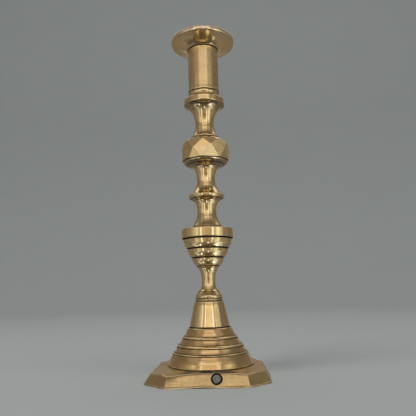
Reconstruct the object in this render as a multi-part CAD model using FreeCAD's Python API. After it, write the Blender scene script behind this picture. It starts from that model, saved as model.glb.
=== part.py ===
import FreeCAD, Part
import math
import os
from FreeCAD import Vector as V

os.makedirs("parts", exist_ok=True)

# ---------------------------------------------------------------------------
# Turned brass candlestick with a diamond knop and a beehive knop.
# Millimetres. +Z is up along the turning axis, z = 0 is the underside of the
# plinth's rim, x = y = 0 is the turning axis, and the plugged cord hole is in
# the front (-Y) side of the plinth.
# ---------------------------------------------------------------------------

# overall levels of the stem's joints, bottom to top
Z_TOP = 292.0            # rim of the drip pan
Z_PLINTH = 9.4           # top face of the plinth
Z_FOOT = 38.6            # stepped foot to bell cone
Z_NECK = 67.3            # bell cone to lower neck
Z_HIVE = 88.3            # lower neck to beehive knop
Z_BAL1 = 119.1           # beehive knop to lower baluster
Z_BAL2 = 145.4           # lower baluster to middle baluster
Z_KNOP = 178.5           # middle baluster to diamond knop
Z_BAL3 = 197.9           # diamond knop to upper baluster
Z_NOZ = 241.4            # upper baluster to candle nozzle
Z_PAN = 282.5            # candle nozzle to drip pan

# plinth: square with cut corners, sloping skirt, hollow underneath
PLINTH_A0 = 47.2         # half width at the bottom
PLINTH_A1 = 42.4         # half width at the top
PLINTH_C0 = 16.2         # corner cut, along each side, bottom
PLINTH_C1 = 13.2         # corner cut, along each side, top
PLINTH_WALL = 2.7        # skirt, measured square to Z
PLINTH_PLATE = 2.6       # thickness of the top plate
PLINTH_BORE = 28.05      # hole for the foot's threaded collar
CORD_R = 4.0             # plugged cord hole
CORD_X = 6.5             # its place along the front skirt
CORD_Z = 5.6             # its height on the skirt's outer face

# foot and its ring nut
FOOT_COLLAR_R = 28.0     # threaded collar that passes through the plinth
FOOT_COLLAR_Z = 3.6      # its lower end
FOOT_BORE = 25.5         # room for a finger under the push button
NUT_R = 33.0
NUT_H = 2.9

# stem
BORE_R = 2.75            # rod hole through the stem
SPIGOT_R = 4.5           # threaded spigots of the lower neck
SPIGOT_L = 6.5
SPIGOT2_R = 5.0          # threaded spigots of the thicker sections
SPIGOT2_L = 6.5
GAP = 0.05               # radial clearance round every spigot

# bell cone
BELL_SPIGOT_R = 14.5
BELL_SPIGOT_L = 5.6
BELL_BORE = 12.5         # the push button rises in here
BELL_BORE_TOP = 47.0

# candle socket
SOCKET_R = 11.4          # takes a standard 22 mm (7/8 in) candle
SOCKET_FLOOR = 246.2     # lower end of the socket's full radius
SOCKET_MOUTH = 291.0
RECESS_R = 10.6          # the pusher disc sits in this
RECESS_FLOOR = 244.4
NOZZLE_R = 13.6
SLEEVE_R = 12.5          # the pan's sleeve, inside the nozzle's mouth
SLEEVE_BOTTOM = 277.5

# ejector
ROD_R = 2.4
TENON_R = 1.6
DISC_R = 10.3
DISC_T = 1.6
DISC_LIFT = 0.05         # running gap under the disc at rest
BUTTON_R = 9.0
BUTTON_BOTTOM = 3.5
BUTTON_T = 3.0
TRAVEL = 36.0

# diamond knop: flats round a barrel, set out as lozenges with triangles
KNOP_N = 9
KNOP_AZ = -94.6          # direction of one lozenge's middle, degrees from +X
KNOP_MID = 187.5
KNOP_FLAT = 19.95        # axis to a lozenge's face
KNOP_TILT_LOW = 9.6
KNOP_TILT_HIGH = 21.4


def pt(rz):
    return V(rz[0], 0.0, rz[1])


def edges(path):
    """Edges of an outline in the XZ plane, from a list of steps."""
    out = []
    here = None
    for step in path:
        kind = step[0]
        if kind == "P":
            here = step[1]
        elif kind == "L":
            if math.dist(here, step[1]) > 1e-6:
                out.append(Part.LineSegment(pt(here), pt(step[1])).toShape())
            here = step[1]
        elif kind == "A":
            out.append(Part.Arc(pt(here), pt(step[1]), pt(step[2])).toShape())
            here = step[2]
        elif kind == "S":
            pts = [here] + list(step[1])
            curve = Part.BSplineCurve()
            curve.interpolate([pt(p) for p in pts])
            out.append(curve.toShape())
            here = pts[-1]
    return out


def turned(path):
    """A solid of revolution from a closed outline that starts and ends at one point."""
    wire = Part.Wire(edges(path))
    face = Part.Face(wire)
    solid = face.revolve(V(0, 0, 0), V(0, 0, 1), 360)
    if solid.Volume < 0:
        solid.reverse()
    return solid


def close(path, inner):
    """Close an outer outline with a list of inner corner points."""
    out = list(path)
    for p in inner:
        out.append(("L", p))
    out.append(("L", path[0][1]))
    return out


def cyl(r, z0, z1, x=0.0, y=0.0):
    return Part.makeCylinder(r, z1 - z0, V(x, y, z0))


def octagon(a, c, z):
    b = a - c
    ring = [(a, -b), (a, b), (b, a), (-b, a), (-a, b), (-a, -b), (-b, -a), (b, -a)]
    return [V(x, y, z) for x, y in ring]


def frustum(a0, c0, z0, a1, c1, z1):
    """An eight-sided block with flat sides, from one outline up to another."""
    lo = octagon(a0, c0, z0)
    hi = octagon(a1, c1, z1)
    faces = [Part.Face(Part.makePolygon(lo + [lo[0]])), Part.Face(Part.makePolygon(hi + [hi[0]]))]
    for i in range(8):
        j = (i + 1) % 8
        faces.append(Part.Face(Part.makePolygon([lo[i], lo[j], hi[j], hi[i], lo[i]])))
    solid = Part.Solid(Part.Shell(faces))
    if solid.Volume < 0:
        solid.reverse()
    return solid


parts = {}

# --- plinth ----------------------------------------------------------------
outer = frustum(PLINTH_A0, PLINTH_C0, 0.0, PLINTH_A1, PLINTH_C1, Z_PLINTH)
slope = (PLINTH_A0 - PLINTH_A1) / Z_PLINTH
cslope = (PLINTH_C0 - PLINTH_C1) / Z_PLINTH
zi = Z_PLINTH - PLINTH_PLATE
# the cut corners keep the same wall, so the inner corner cut is smaller
kc = 2.0 - math.sqrt(2.0)
in0 = (PLINTH_A0 - PLINTH_WALL + slope, PLINTH_C0 - kc * PLINTH_WALL + cslope)
in1 = (PLINTH_A0 - PLINTH_WALL - slope * zi, PLINTH_C0 - kc * PLINTH_WALL - cslope * zi)
hollow = frustum(in0[0], in0[1], -1.0, in1[0], in1[1], zi)
plinth = outer.cut(hollow).cut(cyl(PLINTH_BORE, -1.0, Z_PLINTH + 1.0))
face_y = -(PLINTH_A0 - slope * CORD_Z)
tilt = math.atan(slope)
normal = V(0.0, -math.cos(tilt), math.sin(tilt))
centre = V(CORD_X, face_y, CORD_Z)
plinth = plinth.cut(Part.makeCylinder(CORD_R, 12.0, centre - normal * 6.0, normal))
parts["plinth"] = plinth

# --- plug in the cord hole: a stopper with a small domed head ---------------
shank = Part.makeCylinder(CORD_R - GAP, 2.4, centre - normal * 3.2, normal)
head = Part.makeCylinder(3.1, 0.6, centre - normal * 0.8, normal)
dome = Part.makeSphere(4.6, centre - normal * (4.6 - 0.75))
dome = dome.common(Part.makeCylinder(3.1, 3.0, centre - normal * 0.4, normal))
parts["cord_hole_plug"] = shank.fuse([head, dome]).removeSplitter()

# --- stepped foot ----------------------------------------------------------
foot = [
    ("P", (FOOT_BORE, FOOT_COLLAR_Z)),
    ("L", (FOOT_COLLAR_R - 0.4, FOOT_COLLAR_Z)),
    ("L", (FOOT_COLLAR_R, FOOT_COLLAR_Z + 0.4)),
    ("L", (FOOT_COLLAR_R, Z_PLINTH)),
    ("L", (33.3, Z_PLINTH)),
    ("A", (34.0, 9.9), (33.9, 10.8)),
    ("L", (33.2, 13.4)),
    ("S", [(32.2, 15.6), (30.9, 18.0), (29.9, 19.3)]),
    ("L", (29.2, 19.6)),
    ("L", (28.8, 19.95)),
    ("S", [(28.2, 21.2), (27.5, 23.0), (27.15, 23.9)]),
    ("A", (26.75, 24.9), (26.0, 25.6)),
    ("L", (25.35, 25.9)),
    ("L", (25.0, 26.3)),
    ("S", [(24.1, 27.6), (22.9, 29.6), (22.35, 31.0)]),
    ("A", (22.0, 31.6), (21.4, 31.9)),
    ("L", (20.8, 32.3)),
    ("L", (20.5, 32.8)),
    ("S", [(20.1, 33.6), (19.3, 35.6), (18.4, 37.4)]),
    ("A", (17.9, 38.3), (17.2, Z_FOOT)),
    ("L", (BELL_SPIGOT_R + GAP, Z_FOOT)),
    ("L", (BELL_SPIGOT_R + GAP, Z_FOOT - BELL_SPIGOT_L - 0.3)),
    ("L", (BELL_BORE, Z_FOOT - BELL_SPIGOT_L - 0.3)),
    ("L", (BELL_BORE, 30.2)),
    ("L", (18.2, 29.4)),
    ("L", (22.6, 24.2)),
    ("L", (FOOT_BORE, 17.5)),
    ("L", (FOOT_BORE, FOOT_COLLAR_Z)),
]
parts["stepped_foot"] = turned(foot)

# --- ring nut under the plinth, with two flats for a wrench -----------------
nut_top = Z_PLINTH - PLINTH_PLATE
nut = cyl(NUT_R, nut_top - NUT_H, nut_top).cut(cyl(FOOT_COLLAR_R + GAP, 0.0, nut_top + 1))
for sx in (-1, 1):
    nut = nut.cut(Part.makeBox(10, 70, 10, V(31.0 if sx > 0 else -41.0, -35, 0)))
parts["foot_ring_nut"] = nut

# --- bell cone with two beads at its top ------------------------------------
bell = [
    ("P", (BELL_SPIGOT_R, Z_FOOT - BELL_SPIGOT_L)),
    ("L", (BELL_SPIGOT_R, Z_FOOT)),
    ("L", (16.5, Z_FOOT)),
    ("L", (16.95, 39.1)),
    ("S", [(16.1, 42.2), (15.3, 45.5), (14.5, 49.2), (13.6, 53.5), (12.9, 56.6), (12.3, 58.7)]),
    ("A", (12.1, 59.25), (11.6, 59.4)),
    ("L", (11.0, 59.65)),
    ("A", (11.35, 60.5), (11.0, 61.4)),
    ("L", (10.65, 61.7)),
    ("L", (10.95, 62.1)),
    ("A", (11.35, 63.3), (10.75, 64.8)),
    ("S", [(10.0, 65.9), (9.4, 66.7)]),
    ("L", (8.9, Z_NECK)),
]
bell = close(bell, [
    (SPIGOT_R + GAP, Z_NECK),
    (SPIGOT_R + GAP, Z_NECK - SPIGOT_L - 0.3),
    (BORE_R, Z_NECK - SPIGOT_L - 0.3),
    (BORE_R, 54.5),
    (BELL_BORE - 2.0, BELL_BORE_TOP + 3.0),
    (BELL_BORE, BELL_BORE_TOP),
    (BELL_BORE, Z_FOOT - BELL_SPIGOT_L),
])
parts["bell_cone"] = turned(bell)

# --- lower neck: the thinnest section, threaded at both ends ----------------
neck = [
    ("P", (SPIGOT_R, Z_NECK - SPIGOT_L)),
    ("L", (SPIGOT_R, Z_NECK)),
    ("L", (8.5, Z_NECK)),
    ("L", (8.65, 67.6)),
    ("S", [(7.7, 68.5), (6.7, 70.2), (6.0, 72.6), (5.75, 75.5), (5.8, 78.0), (6.1, 80.6), (6.8, 83.4), (8.0, 85.9), (9.3, 87.6)]),
    ("L", (9.5, Z_HIVE)),
    ("L", (SPIGOT_R, Z_HIVE)),
    ("L", (SPIGOT_R, Z_HIVE + SPIGOT_L)),
]
parts["lower_neck"] = turned(close(neck, [(BORE_R, Z_HIVE + SPIGOT_L), (BORE_R, Z_NECK - SPIGOT_L)]))

# --- beehive knop: four bands with cut grooves between them, cored inside ------
hive = [
    ("P", (SPIGOT_R + GAP, Z_HIVE)),
    ("L", (9.9, Z_HIVE)),
    ("L", (10.5, 88.8)),
    ("S", [(11.7, 90.3), (12.8, 92.2), (13.6, 94.3)]),
    ("L", (13.6, 94.7)),
    ("L", (12.7, 95.0)),
    ("L", (13.1, 95.4)),
    ("L", (14.2, 95.6)),
    ("S", [(15.6, 97.4), (16.7, 99.5), (17.4, 101.9)]),
    ("L", (17.4, 102.4)),
    ("L", (16.3, 102.7)),
    ("L", (16.7, 103.1)),
    ("L", (17.9, 103.3)),
    ("S", [(19.3, 105.2), (20.3, 107.6), (20.9, 110.1)]),
    ("L", (20.9, 110.65)),
    ("L", (19.7, 110.95)),
    ("L", (20.1, 111.35)),
    ("L", (21.5, 111.5)),
    ("A", (21.95, 111.7), (22.1, 112.2)),
    ("L", (22.15, 118.4)),
    ("A", (21.98, 118.9), (21.5, Z_BAL1)),
    ("L", (SPIGOT2_R + GAP, Z_BAL1)),
    ("L", (SPIGOT2_R + GAP, Z_BAL1 - SPIGOT2_L - 0.3)),
]
parts["beehive_knop"] = turned(close(hive, [
    (BORE_R, Z_BAL1 - SPIGOT2_L - 0.3),
    (BORE_R, 110.0),
    (15.5, 108.5),
    (12.5, 100.5),
    (7.0, 97.0),
    (BORE_R, 96.6),
    (BORE_R, Z_HIVE + SPIGOT_L + 0.3),
    (SPIGOT_R + GAP, Z_HIVE + SPIGOT_L + 0.3),
]))


def spigot_down(z):
    return [
        ("P", (SPIGOT2_R, z - SPIGOT2_L)),
        ("L", (SPIGOT2_R, z)),
    ]


def socket_top(z):
    return [
        ("L", (SPIGOT2_R + GAP, z)),
        ("L", (SPIGOT2_R + GAP, z - SPIGOT2_L - 0.3)),
        ("L", (BORE_R, z - SPIGOT2_L - 0.3)),
    ]


# --- lower baluster ---------------------------------------------------------
bal1 = spigot_down(Z_BAL1) + [
    ("L", (13.9, Z_BAL1)),
    ("L", (14.0, 119.6)),
    ("S", [(13.1, 121.2), (12.1, 123.0), (10.9, 125.2), (9.7, 127.8), (8.7, 130.6), (8.25, 133.6), (8.3, 136.4), (8.8, 139.0), (9.8, 141.4), (11.2, 143.6), (12.9, 144.85)]),
    ("L", (13.5, Z_BAL2)),
] + socket_top(Z_BAL2)
parts["lower_baluster"] = turned(close(bal1, [(BORE_R, Z_BAL1 - SPIGOT2_L)]))

# --- middle baluster: ring at the bottom, flange under the knop --------------
bal2 = spigot_down(Z_BAL2) + [
    ("L", (14.0, Z_BAL2)),
    ("A", (15.1, 146.4), (15.45, 147.6)),
    ("A", (15.25, 148.4), (14.6, 148.9)),
    ("S", [(13.0, 150.1), (11.4, 151.9), (9.9, 154.2), (8.8, 156.8), (8.1, 159.6), (7.95, 162.5), (8.1, 165.4), (8.7, 168.0), (9.8, 170.9), (11.6, 173.3), (14.0, 174.75), (15.5, 175.15)]),
    ("L", (15.5, 175.45)),
    ("L", (16.3, 175.6)),
    ("A", (18.3, 176.6), (19.5, 178.0)),
    ("L", (19.2, Z_KNOP)),
] + socket_top(Z_KNOP)
parts["middle_baluster"] = turned(close(bal2, [(BORE_R, Z_BAL2 - SPIGOT2_L)]))

# --- diamond knop: a cored barrel cut with flats ------------------------------
knop = spigot_down(Z_KNOP) + [
    ("L", (19.5, Z_KNOP)),
    ("L", (20.15, 179.1)),
    ("S", [(20.85, 183.0), (21.2, 187.5), (20.4, 192.0), (18.7, 195.3), (16.3, 197.0)]),
    ("L", (13.2, 197.6)),
    ("L", (12.6, Z_BAL3)),
] + socket_top(Z_BAL3)
knop = turned(close(knop, [
    (BORE_R, 189.2),
    (13.0, 188.0),
    (15.0, 185.5),
    (15.0, 182.5),
    (12.0, 181.0),
    (BORE_R, 180.6),
    (BORE_R, Z_KNOP - SPIGOT2_L),
]))
step = 360.0 / KNOP_N
vertex = KNOP_FLAT / math.cos(math.radians(step / 2))
for i in range(KNOP_N):
    for az, tilt_deg, dist, zc in (
        (KNOP_AZ + i * step, 0.0, KNOP_FLAT, KNOP_MID),
        (KNOP_AZ + (i + 0.5) * step, -KNOP_TILT_LOW, vertex, KNOP_MID),
        (KNOP_AZ + (i + 0.5) * step, KNOP_TILT_HIGH, vertex, KNOP_MID),
    ):
        block = Part.makeBox(12.0, 60.0, 60.0, V(0, -30, -30))
        block.rotate(V(0, 0, 0), V(0, 1, 0), -tilt_deg)
        block.translate(V(dist, 0, zc))
        block.rotate(V(0, 0, 0), V(0, 0, 1), az)
        knop = knop.cut(block)
parts["diamond_knop"] = knop

# --- upper baluster with its collar and bead --------------------------------
bal3 = spigot_down(Z_BAL3) + [
    ("L", (12.1, Z_BAL3)),
    ("A", (12.45, 198.8), (11.9, 199.5)),
    ("L", (11.5, 199.8)),
    ("S", [(10.9, 201.6), (10.0, 203.8), (9.1, 206.6), (8.45, 209.6), (8.25, 212.6), (8.6, 216.4), (9.4, 219.8), (10.8, 223.0), (12.9, 226.0), (15.6, 228.4), (17.0, 229.3)]),
    ("L", (17.6, 229.6)),
    ("A", (17.85, 229.9), (17.9, 230.4)),
    ("L", (17.8, 233.8)),
    ("A", (17.6, 234.5), (17.0, 234.9)),
    ("S", [(15.9, 235.8), (14.4, 237.0)]),
    ("L", (13.5, 237.3)),
    ("L", (13.5, 237.6)),
    ("A", (14.1, 239.3), (13.8, 241.0)),
    ("L", (13.1, Z_NOZ)),
] + socket_top(Z_NOZ)
parts["upper_baluster"] = turned(close(bal3, [(BORE_R, Z_BAL3 - SPIGOT2_L)]))

# --- candle nozzle: the socket, with a floor and a recess for the disc --------
noz = spigot_down(Z_NOZ) + [
    ("L", (13.1, Z_NOZ)),
    ("A", (13.75, 241.75), (13.8, 242.3)),
    ("L", (NOZZLE_R, 246.0)),
    ("L", (NOZZLE_R, Z_PAN - 0.3)),
    ("L", (NOZZLE_R - 0.3, Z_PAN)),
    ("L", (SLEEVE_R + GAP, Z_PAN)),
    ("L", (SLEEVE_R + GAP, SLEEVE_BOTTOM)),
    ("L", (SOCKET_R, SLEEVE_BOTTOM)),
    ("L", (SOCKET_R, SOCKET_FLOOR)),
    ("L", (RECESS_R, SOCKET_FLOOR)),
    ("L", (RECESS_R, RECESS_FLOOR)),
    ("L", (BORE_R, RECESS_FLOOR)),
]
parts["candle_nozzle"] = turned(close(noz, [(BORE_R, Z_NOZ - SPIGOT2_L)]))

# --- drip pan: a thin dish on a sleeve that fits in the nozzle's mouth --------
pan = [
    ("P", (SOCKET_R, SLEEVE_BOTTOM)),
    ("L", (SLEEVE_R, SLEEVE_BOTTOM)),
    ("L", (SLEEVE_R, Z_PAN)),
    ("L", (13.9, Z_PAN)),
    ("S", [(14.2, 283.2), (15.0, 284.8), (17.0, 286.3), (20.5, 287.3), (24.5, 287.8), (27.2, 288.1)]),
    ("L", (27.6, 288.5)),
    ("A", (28.3, 289.2), (28.5, 290.3)),
    ("L", (28.5, Z_TOP - 0.9)),
    ("A", (27.6, Z_TOP), (26.76, Z_TOP - 0.57)),
    ("S", [(26.1, 290.2), (24.5, 289.4), (20.5, 288.8), (17.0, 287.9), (14.9, 287.6)]),
    ("A", (13.6, 287.9), (13.1, 288.9)),
    ("L", (13.1, SOCKET_MOUTH - 0.4)),
    ("A", (12.6, SOCKET_MOUTH), (12.1, SOCKET_MOUTH)),
    ("L", (SOCKET_R, SOCKET_MOUTH)),
    ("L", (SOCKET_R, SLEEVE_BOTTOM)),
]
parts["drip_pan"] = turned(pan)

# --- ejector: rod, pusher disc and push button -------------------------------
disc_z0 = RECESS_FLOOR + DISC_LIFT
disc_z1 = disc_z0 + DISC_T
button_top = BUTTON_BOTTOM + BUTTON_T
rod = cyl(ROD_R, button_top, disc_z0)
rod = rod.fuse([cyl(TENON_R, button_top - 2.0, button_top), cyl(TENON_R, disc_z0, disc_z1)]).removeSplitter()
parts["ejector_rod"] = rod

disc = [
    ("P", (TENON_R + GAP, disc_z0)),
    ("L", (DISC_R - 0.3, disc_z0)),
    ("L", (DISC_R, disc_z0 + 0.3)),
    ("L", (DISC_R, disc_z1 - 0.4)),
    ("L", (DISC_R - 0.4, disc_z1)),
]
parts["pusher_disc"] = turned(close(disc, [(TENON_R + GAP, disc_z1)]))

button = [
    ("P", (0.0, BUTTON_BOTTOM)),
    ("A", (5.0, BUTTON_BOTTOM + 0.35), (BUTTON_R - 0.6, BUTTON_BOTTOM + 1.1)),
    ("A", (BUTTON_R - 0.1, BUTTON_BOTTOM + 1.35), (BUTTON_R, BUTTON_BOTTOM + 1.7)),
    ("L", (BUTTON_R - 0.4, BUTTON_BOTTOM + 2.1)),
    ("L", (4.4, BUTTON_BOTTOM + 2.2)),
    ("L", (3.8, button_top)),
    ("L", (TENON_R + GAP, button_top)),
    ("L", (TENON_R + GAP, button_top - 2.0)),
    ("L", (0.0, button_top - 2.0)),
    ("L", (0.0, BUTTON_BOTTOM)),
]
parts["push_button"] = turned(button)

for name, shape in parts.items():
    solids = shape.Solids
    if len(solids) != 1 or not shape.isValid():
        print("CHECK", name, "solids", len(solids), "valid", shape.isValid())
    out = solids[0] if len(solids) == 1 else shape
    if out.Volume < 0:
        out.reverse()
    out.exportStep("parts/" + name + ".step")
    pts = out.tessellate(0.05)[0]
    lo = [min(p[k] for p in pts) for k in range(3)]
    hi = [max(p[k] for p in pts) for k in range(3)]
    print("%-16s vol %9.1f mm3  x %.2f..%.2f  y %.2f..%.2f  z %.2f..%.2f" % (name, out.Volume, lo[0], hi[0], lo[1], hi[1], lo[2], hi[2]))

total = sum(s.Volume for s in parts.values())
print("total volume %.1f mm3, about %.0f g in brass" % (total, total * 8.5e-3))
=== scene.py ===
import math
import bmesh
import bpy
import numpy as np
from mathutils import Matrix, Vector


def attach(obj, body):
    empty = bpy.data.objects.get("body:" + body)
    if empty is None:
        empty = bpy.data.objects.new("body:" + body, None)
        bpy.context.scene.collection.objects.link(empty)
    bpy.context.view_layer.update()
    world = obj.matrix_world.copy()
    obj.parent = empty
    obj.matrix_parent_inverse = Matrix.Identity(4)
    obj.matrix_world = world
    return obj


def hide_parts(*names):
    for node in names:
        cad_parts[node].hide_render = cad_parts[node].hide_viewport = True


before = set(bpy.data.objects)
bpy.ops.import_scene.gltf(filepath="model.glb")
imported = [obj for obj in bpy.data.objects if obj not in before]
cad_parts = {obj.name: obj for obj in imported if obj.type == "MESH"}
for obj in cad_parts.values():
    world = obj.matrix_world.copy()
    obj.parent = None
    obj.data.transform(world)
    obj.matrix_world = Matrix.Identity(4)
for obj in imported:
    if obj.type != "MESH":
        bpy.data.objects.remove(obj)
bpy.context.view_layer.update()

MM = 0.001
SEG = 192                      # points round a turned piece

# ---------------------------------------------------------------------------
# Outlines of the turned pieces, in millimetres: (radius, height).
# P start, L line, A arc through a point, S smooth curve, H the same as L for a
# stretch that nobody sees, which needs no fine sampling.
# ---------------------------------------------------------------------------
GAP = 0.05
BORE = 2.75
SP1, SP2 = 4.5, 5.0


def spigot(z, r=SP2, length=6.5):
    return [("P", (r, z - length)), ("H", (r, z))]


def socket(z, r=SP2, length=6.8):
    return [("L", (r + GAP, z)), ("H", (r + GAP, z - length)), ("H", (BORE, z - length))]


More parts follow.
